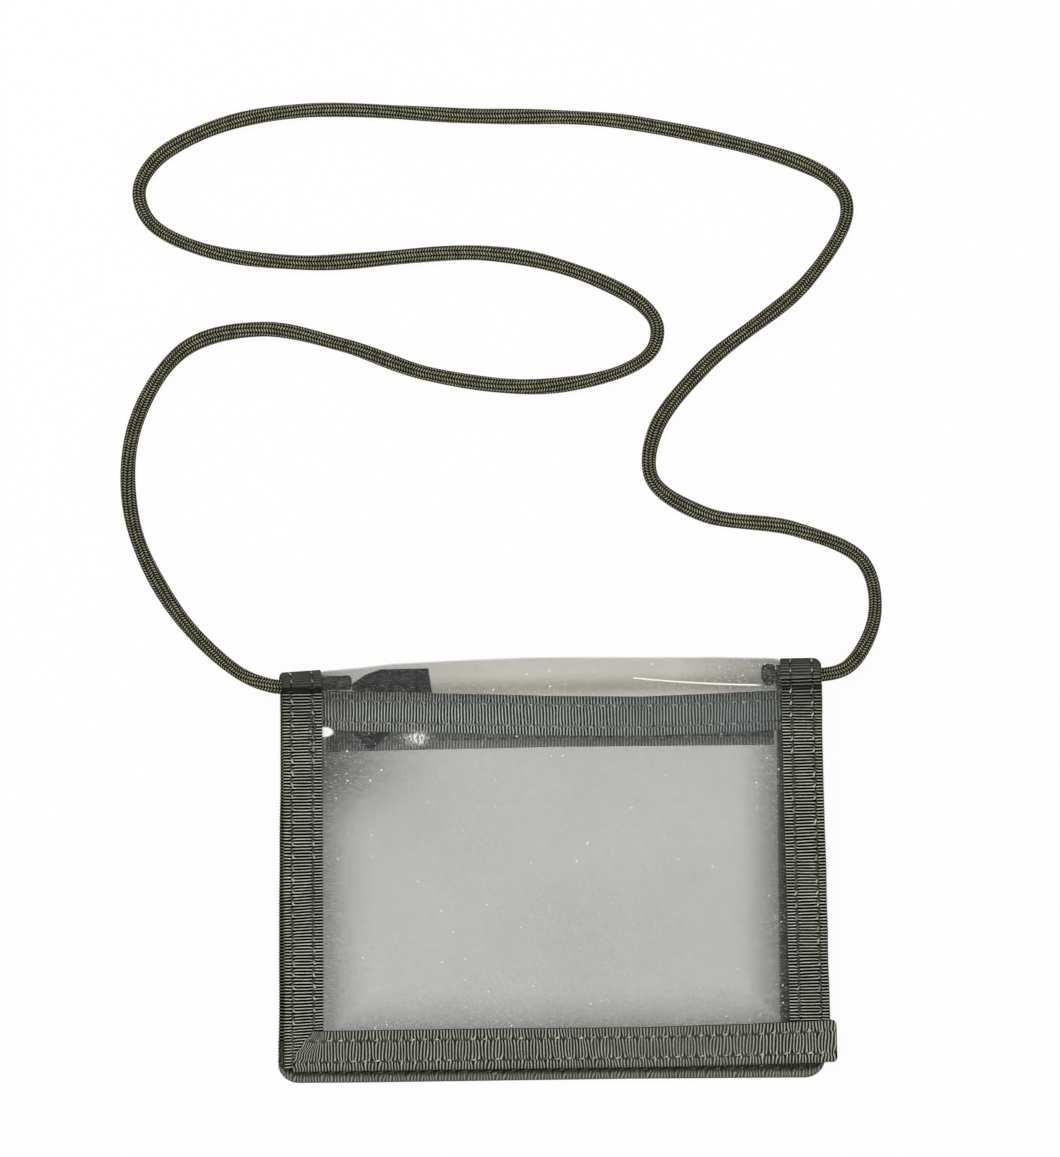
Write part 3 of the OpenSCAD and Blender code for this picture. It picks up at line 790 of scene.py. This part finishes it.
def open_share(x):
    """How far a mouth stands open: shut at its ends."""
    return np.sin(math.pi / 2 * np.clip((LEG_X - np.abs(x)) / 5.0, 0.0, 1.0))


def slot_depth(x):
    return SHUT_DEPTH + 0.3 * open_share(x)


def pocket_depth(x):
    return SHUT_DEPTH + 0.75 * open_share(x)


FRONT_MOUTH = (
    [-47.6, -45.0, -41.6, -25.0, -15.0, 0.0, 19.0, 33.0, 47.6],
    [-0.6, -0.8, -1.1, -1.75, -2.15, -2.85, -3.4, -3.15, -2.7],
)
BACK_MOUTH = ([-47.6, 0.0, 47.6], [-6.1, -5.4, -5.25])
MOUTH_TOPS = {"front": FRONT_MOUTH, "back": BACK_MOUTH}


def mouth_top(panel, x):
    xs, ys = MOUTH_TOPS[panel]
    return np.interp(x, xs, ys)


def mouth_strength(length, width, far):
    """The mouth tape's ribs grow plainer towards the left."""
    return 1.2 - 0.45 * smooth_step(length, -20.0, 40.0)


MOUTH_LOOK = {
    "depth": 0.13, "wander": 0.6, "pull": 0.2, "reach": 0.6, "tangle": 0.12, "narrow": 3.2,
    "strength": mouth_strength, "mean": plain(0.33), "furrow": 0.4, "glint": 0.2,
}


def mouth_tape(name, panel, seed):
    body, on_panel, _ = PANELS[panel]
    left = SIDE_W - HALF_W if panel == "front" else 0.5 - LEG_X
    right = HALF_W - SIDE_W - 0.1 if panel == "front" else LEG_X - 0.6
    along = steps(left, right)
    points, ribbed = folded_section(MOUTH_W, MOUTH_W, MOUTH_TAPE_T, MOUTH_STACK)
    section = np.repeat(points[None], len(along), 0)
    near = slot_depth(along)[:, None]
    far = (pocket_depth(along) + MOUTH_FAR)[:, None]
    # Its right end is pinched where the side tape holds it
    far = far - 0.45 * smooth_step(along, LEG_X - 0.9, LEG_X - 0.2)[:, None]
    section[..., 1] = section[..., 1] * (far - near) / MOUTH_STACK
    top = mouth_top(panel, along)[:, None]

    def place(length, width, depth):
        return on_panel(length, top - width, depth + near)

    # The back mouth tape shows duller, under two more sheets, and is painted paler, as painted light where it
    # lies in the front mouth tape's shade
    dull = {"strength": plain(0.6), "mean": plain(0.68), "furrow": 0.1} if panel == "back" else {}
    piece = ribbed_tape(name, place, along, section, ribbed, MOUTH_ROWS, dict(MOUTH_LOOK, **dull), seed)
    return dress(piece, MOUTH_TAPE, "mouth_tape", body, name)


def pocket_sheet(name, panel):
    body, on_panel, panel_l = PANELS[panel]
    x = np.linspace(-SHEET_HALF_W, SHEET_HALF_W, 97)[None, :]
    fall = np.linspace(0.0, 1.0, 41)[:, None]
    inside = np.clip(np.abs(x), 0.0, LEG_X - 0.8)
    top = mouth_top(panel, np.sign(x) * inside) - 0.5
    foot = -panel_l + SHEET_FOOT + foot_height(x, CORNERS[panel])
    y = top + (foot - top) * fall
    # Below its mouth tape the sheet comes back to the window's
    drawn = np.cos(math.pi / 2 * np.clip((top - y - MOUTH_W) / 58.0, 0.0, 1.0))
    d = SHUT_DEPTH + (pocket_depth(x) - SHUT_DEPTH) * drawn + 0.15
    piece = laid_grid(name, x.shape[1] - 1, fall.shape[0] - 1, on_panel(x, y, d))
    return dress(thicken(piece, VINYL_T), VINYL, "clear_vinyl", body, name)


def window_sheet(name, panel):
    body, on_panel, panel_l = PANELS[panel]
    x = np.linspace(-SHEET_HALF_W, SHEET_HALF_W, 97)[None, :]
    down = np.linspace(0.0, 1.0, 61)[:, None]
    y = -down * (panel_l - SHEET_FOOT - foot_height(x, CORNERS[panel]))
    y = y + meets_fold(panel, x, -y)
    piece = laid_grid(name, x.shape[1] - 1, down.shape[0] - 1, on_panel(x, y, WINDOW_DEPTH))
    return dress(thicken(piece, VINYL_T), VINYL, "clear_vinyl", body, name)


# How far the fold's vinyl bulges past its round, from left to right
FOLD_CROWN = (
    [-48.4, -47.4, -40.3, -33.1, -21.3, -6.2, 4.0, 20.0, 35.0, 46.3, 48.0, 48.5, 48.9],
    [0.0, 0.25, 0.75, 1.45, 1.85, 2.2, 2.1, 1.75, 1.45, 1.0, 0.8, 0.2, 0.0],
)


def fold_sheet(name):
    x = np.linspace(-SHEET_HALF_W, SHEET_HALF_W, 229)[None, :]
    turn = np.linspace(0.0, FOLD_TURN, 41)[:, None]
    shape = on_fold(x, turn, WINDOW_DEPTH)
    out = np.maximum(shape[..., 1] - AXIS[1], 0.0)
    shape[..., 1] += out * np.interp(x, *FOLD_CROWN) / (FOLD_R - WINDOW_DEPTH)
    piece = laid_grid(name, x.shape[1] - 1, turn.shape[0] - 1, shape)
    return bend_with_fold(dress(thicken(piece, VINYL_T), VINYL, "clear_vinyl", None, name))


# Stitches


def stitch_template():
    """One stitch: a short thread that rises out of the tape and dives back in."""
    deselect()
    bpy.ops.mesh.primitive_cylinder_add(vertices=8, radius=0.19, depth=2.0, rotation=(0.0, math.pi / 2, 0.0))
    piece = name_piece("stitch")
    bpy.ops.object.transform_apply(location=True, rotation=True, scale=True)
    edit(piece)
    for cut in (-0.85, -0.55, 0.0, 0.55, 0.85):
        bpy.ops.mesh.select_all(action="SELECT")
        bpy.ops.mesh.bisect(plane_co=(cut, 0.0, 0.0), plane_no=(1.0, 0.0, 0.0))
    bpy.ops.mesh.select_all(action="SELECT")
    bpy.ops.mesh.quads_convert_to_tris()
    bpy.ops.object.mode_set(mode="OBJECT")
    points = np.array([v.co[:] for v in piece.data.vertices])
    faces = [tuple(p.vertices) for p in piece.data.polygons]
    bpy.data.objects.remove(piece)
    rise = 0.1 - 0.34 * np.abs(points[:, 0]) ** 3.0
    thin = 1.0 - 0.35 * np.abs(points[:, 0]) ** 4.0
    points[:, 1:] = points[:, 1:] * thin[:, None]
    points[:, 2] = points[:, 2] * 0.7 + rise
    return points, faces


STITCH_POINTS, STITCH_FACES = stitch_template()

# A stitch's half length, and how far it leans beyond its middle
STITCH_HALF = 0.4324 * STITCH
STITCH_LEAN = STITCH_POINTS[:, 0] + 2.0 * np.clip(STITCH_POINTS[:, 0] - 0.5, 0.0, 1.0)


def stitch_row(place, start, end, width_at, under, lean, seed):
    """Copies of the stitch along one row, each as points in mm."""
    count = int((end - start) / STITCH)
    draw = np.random.RandomState(seed)
    made = []
    for k in range(count):
        centre = start + (k + 0.5) * STITCH
        tip = lean + draw.uniform(-0.04, 0.04)
        off = draw.uniform(-0.05, 0.05)
        along = centre + STITCH_POINTS[:, 0] * STITCH_HALF
        width = width_at + off + STITCH_POINTS[:, 1] + STITCH_LEAN * tip
        rise = STITCH_POINTS[:, 2]
        made.append(place(along, width, -rise if not under else under + rise))
    return made


def stitch_rows(place, start, end, rows, unders, lean, seed):
    """A seam's rows, each sewn on every face in unders."""
    made = []
    for k, row in enumerate(rows):
        for under in unders:
            made += stitch_row(place, start, end, row, under, lean, seed + k)
    return made


def seam(name, groups, body, paint=THREAD):
    """One mesh of all the stitches of a seam."""
    points = np.concatenate(groups)
    count = len(STITCH_POINTS)
    faces = [tuple(i + k * count for i in f) for k in range(len(groups)) for f in STITCH_FACES]
    mesh = bpy.data.meshes.new(name)
    mesh.from_pydata((points * MM).tolist(), [], faces)
    piece = bpy.data.objects.new(name, mesh)
    bpy.context.scene.collection.objects.link(piece)
    edit(piece)
    bpy.ops.mesh.normals_make_consistent(inside=False)
    bpy.ops.object.mode_set(mode="OBJECT")
    bpy.ops.object.shade_smooth_by_angle(angle=math.radians(70.0))
    # Painted highlight at one end of each stitch, stronger on some stitches than others
    end = np.clip((STITCH_POINTS[:, 0] - 0.25) / 0.5, 0.0, 1.0)
    highlight_share = np.random.RandomState(len(groups)).uniform(0.0, 1.0, len(groups)) ** 0.9
    keep_value(piece, "stitch_glint", (highlight_share[:, None] * end[None, :]).ravel())
    return dress(piece, paint, "thread", body, name)


def side_seam(name, panel, side, seed):
    body, on_panel, panel_l = PANELS[panel]

    def place(length, width, depth):
        return on_panel(side_x(panel, side, width, length), -length, depth)

    made = stitch_rows(place, 1.0, panel_l - BOTTOM_W + 0.2, SIDE_ROWS, (0.0, STACK), 0.16, seed)
    if panel == "front" and side < 0:
        # A second pass, crossing the first, near the fold
        for k, shift in enumerate((-0.52, 0.52)):
            made += stitch_row(place, 5.0, 15.0, SIDE_ROWS[1] + shift, 0.0, 0.3 * (1 - 2 * k), seed + 9 + k)
    return seam(name, made, body)


def bottom_seam(name, panel, left, right, seed):
    body, on_panel, panel_l = PANELS[panel]

    def place(length, width, depth):
        return on_panel(length, -panel_l + width - foot_sag(panel, length, width), depth)

    made = stitch_rows(place, left, right, BOTTOM_ROWS, (0.0, STACK), 0.1, seed)
    return seam(name, made, body, SHADED_THREAD if panel == "back" else THREAD)


def mouth_seam(name, panel, seed):
    body, on_panel, _ = PANELS[panel]

    def place(length, width, depth):
        far = depth - MOUTH_STACK + pocket_depth(length) + MOUTH_FAR
        depth = np.where(depth > MOUTH_STACK / 2, far, depth + slot_depth(length))
        return on_panel(length, mouth_top(panel, length) - width, depth)

    made = stitch_rows(place, -46.0, 46.0, MOUTH_ROWS, (0.0, MOUTH_STACK), 0.1, seed)
    return seam(name, made, body, MOUTH_THREAD)


def fold_seam(name, side, seed):
    def place(length, width, depth):
        return fold_pull(side, on_fold(fold_x(side, width, length), length, depth + 0.12), width)

    made = stitch_rows(place, 0.7, FOLD_TURN - 0.5, SIDE_ROWS, (0.0,), 0.1, seed)
    return bend_with_fold(seam(name, made, None))


# Neck cord and its knots

CORD_POINTS = np.array([
    (-47.3, 39.7, 3.6), (-55, 39.7, 3.6), (-58.5, 40, 3.5), (-65.5, 43, 2), (-78, 55.6, 1.6),
    (-87, 75, 1.6), (-86.2, 95, 1.6), (-75.5, 111, 1.6), (-59.3, 115, 1.6), (-42, 111.3, 1.6),
    (-24, 104.8, 1.6), (-1, 101.7, 1.6), (17, 104.8, 1.6), (23, 109, 1.6), (24, 114, 1.6),
    (20.6, 118.8, 1.6), (5.7, 126.3, 1.6), (-12, 130, 1.6), (-50.5, 128.8, 1.6), (-72, 132.3, 1.6),
    (-82, 138, 1.6), (-84.2, 144.5, 1.6), (-80.5, 151, 1.6), (-68, 157.6, 1.6), (-50, 160.7, 1.6),
    (-16, 159, 1.6), (21, 156.5, 1.6), (61, 144.2, 1.6), (64.5, 137.4, 1.6), (56, 122.9, 1.6),
    (34, 105.4, 1.6), (23.2, 91.8, 1.6), (22.4, 81.7, 1.6), (33, 74.2, 1.6), (52.2, 70.6, 1.6),
    (66.3, 63.5, 1.6), (68.5, 52, 1.6), (62.8, 41.6, 2.8), (55, 39.7, 3.6), (47.3, 39.7, 3.6),
])


def smooth_route(points, spacing):
    """Centripetal curve through the points, cut at an even spacing."""
    extended = np.vstack([2 * points[0] - points[1], points, 2 * points[-1] - points[-2]])
    out = []
    for k in range(len(points) - 1):
        p = extended[k:k + 4]
        t = [0.0]
        for a, b in zip(p, p[1:]):
            t.append(t[-1] + math.sqrt(np.linalg.norm(b - a)))
        u = np.linspace(t[1], t[2], 24, endpoint=False)[:, None]
        a1, a2, a3 = [
            (p[m] * (t[m + 1] - u) + p[m + 1] * (u - t[m])) / (t[m + 1] - t[m]) for m in range(3)
        ]
        b1 = (a1 * (t[2] - u) + a2 * (u - t[0])) / (t[2] - t[0])
        b2 = (a2 * (t[3] - u) + a3 * (u - t[1])) / (t[3] - t[1])
        out.append((b1 * (t[2] - u) + b2 * (u - t[1])) / (t[2] - t[1]))
    fine = np.vstack(out + [points[-1:]])
    run = np.concatenate([[0.0], np.cumsum(np.linalg.norm(np.diff(fine, axis=0), axis=1))])
    even = np.linspace(0.0, run[-1], int(run[-1] / spacing) + 1)
    return np.stack([np.interp(even, run, fine[:, k]) for k in range(3)], -1), even


def braid_tube(name, path, run, wide, high, turn, sides, across=(0.0, 0.0, 1.0)):
    """Tube with an oval section, turned about its own line; UV runs round and along it."""
    tangent = np.gradient(path, axis=0)
    tangent /= np.linalg.norm(tangent, axis=1, keepdims=True)
    side = np.cross(tangent, across)
    side /= np.linalg.norm(side, axis=1, keepdims=True)
    up = np.cross(side, tangent)
    a = np.linspace(0.0, 2 * math.pi, sides + 1)[None, :]
    ex, ey = wide * np.cos(a), high * np.sin(a)
    c, s = np.cos(turn)[:, None], np.sin(turn)[:, None]
    px, py = ex * c - ey * s, ex * s + ey * c
    shape = path[:, None] + px[..., None] * side[:, None] + py[..., None] * up[:, None]
    # Browner along the cord's upper left edge, as in the photograph
    offset = shape - path[:, None]
    offset = offset / np.linalg.norm(offset, axis=2, keepdims=True)
    tan = smooth_step(offset[..., 1] * 0.87 - offset[..., 0] * 0.5, 0.7, 1.0)
    # Painted shade where it runs along y, catching less of the light there
    dull = np.abs(tangent[:, 1:2]) + 0.0 * tan
    piece = laid_grid(name, sides, len(path) - 1, shape, {"tan": tan, "dull": dull})
    layer = piece.data.uv_layers[0]
    flat = np.empty(len(layer.data) * 2)
    layer.data.foreach_get("uv", flat)
    flat = flat.reshape(-1, 2)
    flat[:, 1] *= run[-1] / CORD_L
    layer.data.foreach_set("uv", flat.ravel())
    return closed_round(piece)


route, route_run = smooth_route(CORD_POINTS, 0.5)
# The flat braid rolls and swells a little on its way, and lies even inside the fold
twist = 0.5 * np.sin(route_run / 31.0 + 1.0) + 0.35 * np.sin(route_run / 13.7) + 0.2 * np.sin(route_run / 7.3)
outside = np.minimum(smooth_step(route_run, 10.0, 20.0), smooth_step(route_run[-1] - route_run, 10.0, 20.0))
swell = 1.0 + 0.03 * np.sin(route_run / 3.1) + 0.03 * np.sin(route_run / 5.3)
wide = ((CORD_HALF_W + 0.15 * outside) * swell)[:, None]
neck_cord = braid_tube("neck_cord", route, route_run, wide, CORD_HALF_H, twist * outside, 20)
dress(neck_cord, CORD, "cord", "back_panel", "neck_cord")


def wound_knot(name, centre, length, radius, strand, turns):
    """A stopper knot: the cord's end wrapped about itself over a short core."""
    t = np.linspace(0.0, 1.0, 40 * turns)
    angle = 2 * math.pi * turns * t
    x = (t - 0.5) * (length - 2 * strand)
    r = (radius - strand) * (0.86 + 0.14 * np.sin(math.pi * t))
    path = np.stack([x, r * np.cos(angle), r * np.sin(angle)], -1) + centre
    run = np.concatenate([[0.0], np.cumsum(np.linalg.norm(np.diff(path, axis=0), axis=1))])
    wraps = braid_tube(name + "_wraps", path, run, strand, strand * 0.92, 0.0 * t, 14, (1.0, 0.0, 0.0))
    line = np.linspace(-length / 2 + 0.1, length / 2 - 0.1, 12)
    path = np.stack([line, 0.0 * line, 0.0 * line], -1) + centre
    bulge = np.sqrt(1.0 - (2.0 * line / length) ** 2 * 0.8)[:, None]
    thick = (radius - strand) * 1.15 * bulge
    core = braid_tube(name, path, line - line[0], thick, thick, 0.0 * line, 14)
    deselect()
    wraps.select_set(True)
    core.select_set(True)
    bpy.context.view_layer.objects.active = core
    bpy.ops.object.join()
    return dress(core, CORD, "cord", "back_panel", name)


def sealed_end(name, centre, length, half_wide, half_high):
    """The cord's melted end: a blunt barrel, squared where it was pressed."""
    line = np.concatenate([np.linspace(0.0, 0.12, 6), np.linspace(0.16, 0.84, 22), np.linspace(0.88, 1.0, 6)])
    swell = (1.0 - np.abs(2.0 * line - 1.0) ** 16.0) ** 0.5
    swell = np.maximum(swell, 0.6) * (1.0 + 0.03 * np.sin(line * 17.0))
    a = np.linspace(0.0, 2 * math.pi, 33)[None, :]
    square = 1.0 / (np.abs(np.cos(a)) ** 3.2 + np.abs(np.sin(a)) ** 3.2) ** (1 / 3.2)
    r = 0.95 * swell[:, None] * square * (1.0 + 0.025 * np.sin(3 * a + 9 * line[:, None]))
    x = centre[0] + (line[:, None] - 0.5) * length + 0.0 * a
    shape = np.stack([x, centre[1] + half_wide * r * np.cos(a), centre[2] + half_high * r * np.sin(a)], -1)
    piece = closed_round(laid_grid(name, 32, len(line) - 1, shape))
    return dress(piece, SEALED, "cord", "back_panel", name)


left_knot = sealed_end("left_knot", AXIS + (-44.7, 0.6, 0.15), length=6.1, half_wide=1.6, half_high=1.12)
right_knot = wound_knot("right_knot", AXIS + (45.9, 0.5, 0.0), length=3.2, radius=2.35, strand=0.95, turns=2)

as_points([tuple(p * MM) for p in route[::4]] + [tuple(route[-1] * MM)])


# Inner label

LABEL_W = 16.8
LABEL_H = 17.4
LABEL_LEFT = -41.6
LABEL_TOP = 3.3
LABEL_T = 0.12
LABEL_RIM = 0.16
LABEL_FOOT_Z = -1.04
LABEL_SLOPE = 0.045


def label():
    """A clipped label with a pointed foot; its outline is in shares of its width and height."""
    outline_shares = [(0, 0.83), (0.17, 0.94), (0.36, 1), (0.96, 1), (1, 0.7), (0.21, 0), (0, 0.21)]
    deselect()
    bpy.ops.mesh.primitive_circle_add(vertices=len(outline_shares), radius=1.0, fill_type="NGON")
    piece = name_piece("inner_label")
    for vertex, (across, up) in zip(piece.data.vertices, outline_shares):
        x = LABEL_LEFT + across * LABEL_W
        y = LABEL_TOP - (1 - up) * LABEL_H
        # It rises a little towards the fold, clear of the opened front panel
        z = LABEL_FOOT_Z + LABEL_SLOPE * up * LABEL_H
        vertex.co = Vector((AXIS + (x, y, z)) * MM)
    edit(piece)
    bpy.ops.mesh.extrude_region_move(TRANSFORM_OT_translate={"value": (0.0, 0.0, LABEL_T * MM)})
    bpy.ops.mesh.select_all(action="SELECT")
    bpy.ops.mesh.normals_make_consistent(inside=False)
    bpy.ops.mesh.select_all(action="DESELECT")
    bpy.ops.object.mode_set(mode="OBJECT")
    for face in piece.data.polygons:
        face.select = face.normal.z > 0.9
    bpy.ops.object.mode_set(mode="EDIT")
    bpy.ops.mesh.inset(thickness=LABEL_RIM * MM)
    bpy.ops.object.mode_set(mode="OBJECT")
    rim = np.ones(len(piece.data.vertices))
    for face in piece.data.polygons:
        if face.select:
            rim[list(face.vertices)] = 0.0
    keep_value(piece, "rim", rim)
    return dress(piece, LABEL, "label", "back_panel", "inner_label")


label()

# The panels

for panel, tape_seed, seam_seed in (("back", 31, 41), ("front", 37, 43)):
    window_sheet(panel + "_window", panel)
    pocket_sheet(panel + "_pocket_sheet", panel)
    mouth_tape(panel + "_mouth_tape", panel, tape_seed)
    mouth_seam(panel + "_mouth_seam", panel, seam_seed)


def left_strength(length, width, far):
    """How plain the ribs are: pressed smooth near the fold on the left."""
    return smooth_step(length, 0.8, 1.6) * (0.7 + 0.5 * smooth_step(length, 2.0, 10.0))


def right_strength(length, width, far):
    """On the right they grow plainer away from the fold, but for one smooth band."""
    band = np.exp(-(((length - 2.1) / 0.45) ** 2))
    return 0.5 + 0.66 * smooth_step(length, 2.0, 12.0) - 0.42 * band


def right_fold_strength(length, width, far):
    """Pressed nearly smooth over the fold, less so at its front."""
    return 0.1 + 0.22 * smooth_step(length, 7.6, 9.2)


def foot_strength(length, width, far):
    """Shallower ribs, with fainter painted highlight and shade, a little to the right of the middle."""
    return 1.0 - 0.24 * smooth_step(length, -5.0, 25.0) + 0.24 * smooth_step(length, 38.0, 46.0)


def slanted_cut(width):
    """The front bottom tape's left end, cut on a slant and a little wavy."""
    return -HALF_W + 1.9 + 4.4 * np.clip((width - 2.2) / 6.6, 0.0, 1.0) ** 1.3 + 0.18 * np.sin(2.6 * width)


side_tape("back_left_tape", "back", -1, 3, inner_w=SIDE_W)
side_tape("back_right_tape", "back", 1, 5)
side_tape("front_left_tape", "front", -1, 7, left_strength, SIDE_W)
side_tape("front_right_tape", "front", 1, 11, right_strength)
for panel in ("back", "front"):
    side_seam(panel + "_left_seam", panel, -1, 51)
    side_seam(panel + "_right_seam", panel, 1, 53)

fold_tape("left_fold_tape", -1, 13, plain(0.12), plain(0.088))
fold_tape("right_fold_tape", 1, 17, right_fold_strength, plain(0.08))
fold_seam("left_fold_seam", -1, 61)
fold_seam("right_fold_seam", 1, 63)
fold_sheet("fold_window")

BACK_FOOT_LOOK = dict(BOTTOM_LOOK, strength=plain(0.6), mean=plain(0.36), tangle=0.9, shadow=(1.1, 2.0))
FRONT_FOOT_LOOK = dict(BOTTOM_LOOK, strength=foot_strength)
bottom_tape("back_bottom_tape", "back", 19, 0.2 - HALF_W, HALF_W - 0.2, CORNERS["back"], BACK_FOOT_LOOK)
bottom_tape(
    "front_bottom_tape", "front", 23, 1.4 - HALF_W, HALF_W + 1.1, CORNERS["front"], FRONT_FOOT_LOOK,
    slanted_cut,
)
bottom_seam("back_bottom_seam", "back", -52.5, 52.5, 71)
bottom_seam("front_bottom_seam", "front", -52.0, 57.0, 73)


# Floor and light


def floor():
    """A pale table that the camera sees as white, with the wallet's shadow on it."""
    deselect()
    below = (0.0, 0.0, -0.0001)
    bpy.ops.mesh.primitive_grid_add(x_subdivisions=8, y_subdivisions=8, size=6.0, location=below)
    piece = name_piece("pale_floor")
    bpy.ops.object.transform_apply(location=True, rotation=True, scale=True)
    paint = Paint("pale_floor", roughness=0.9)
    paint.shader.inputs["Base Color"].default_value = (0.86, 0.86, 0.86, 1.0)
    paint.shader.inputs["Specular IOR Level"].default_value = 0.0
    glow = paint.node("ShaderNodeEmission", None, {"Color": (1.0, 1.0, 1.0, 1.0), "Strength": 1.0})
    light_path = paint.node("ShaderNodeLightPath")
    seen = Value(paint, light_path["Is Camera Ray"]) + Value(paint, light_path["Is Glossy Ray"])
    seen = (seen + Value(paint, light_path["Is Transmission Ray"])).clamp() * 0.95
    shaders = {0: seen, 1: paint.shader.outputs["BSDF"], 2: glow["Emission"]}
    blend = paint.node("ShaderNodeMixShader", None, shaders)
    paint.tree.links.new(blend[0], paint.tree.nodes["Material Output"].inputs["Surface"])
    piece.data.materials.append(paint.material)


floor()

world = bpy.data.worlds.new("soft_studio")
bpy.context.scene.world = world
world.use_nodes = True
background = world.node_tree.nodes["Background"]
background.inputs["Color"].default_value = (1.0, 1.0, 1.0, 1.0)
background.inputs["Strength"].default_value = 0.55


def softbox(name, location, size, power):
    light = bpy.data.lights.new(name, "AREA")
    light.shape = "RECTANGLE"
    light.size, light.size_y = size
    light.energy = power
    lamp = bpy.data.objects.new(name, light)
    lamp.location = location
    lamp.rotation_euler = (Vector((0.0, 0.03, 0.0)) - Vector(location)).to_track_quat("-Z", "Y").to_euler()
    bpy.context.scene.collection.objects.link(lamp)


softbox("key_softbox", (-0.5, 0.7, 1.1), (0.7, 0.7), 9.0)
softbox("fill_softbox", (0.7, -0.5, 1.0), (0.9, 0.9), 4.0)
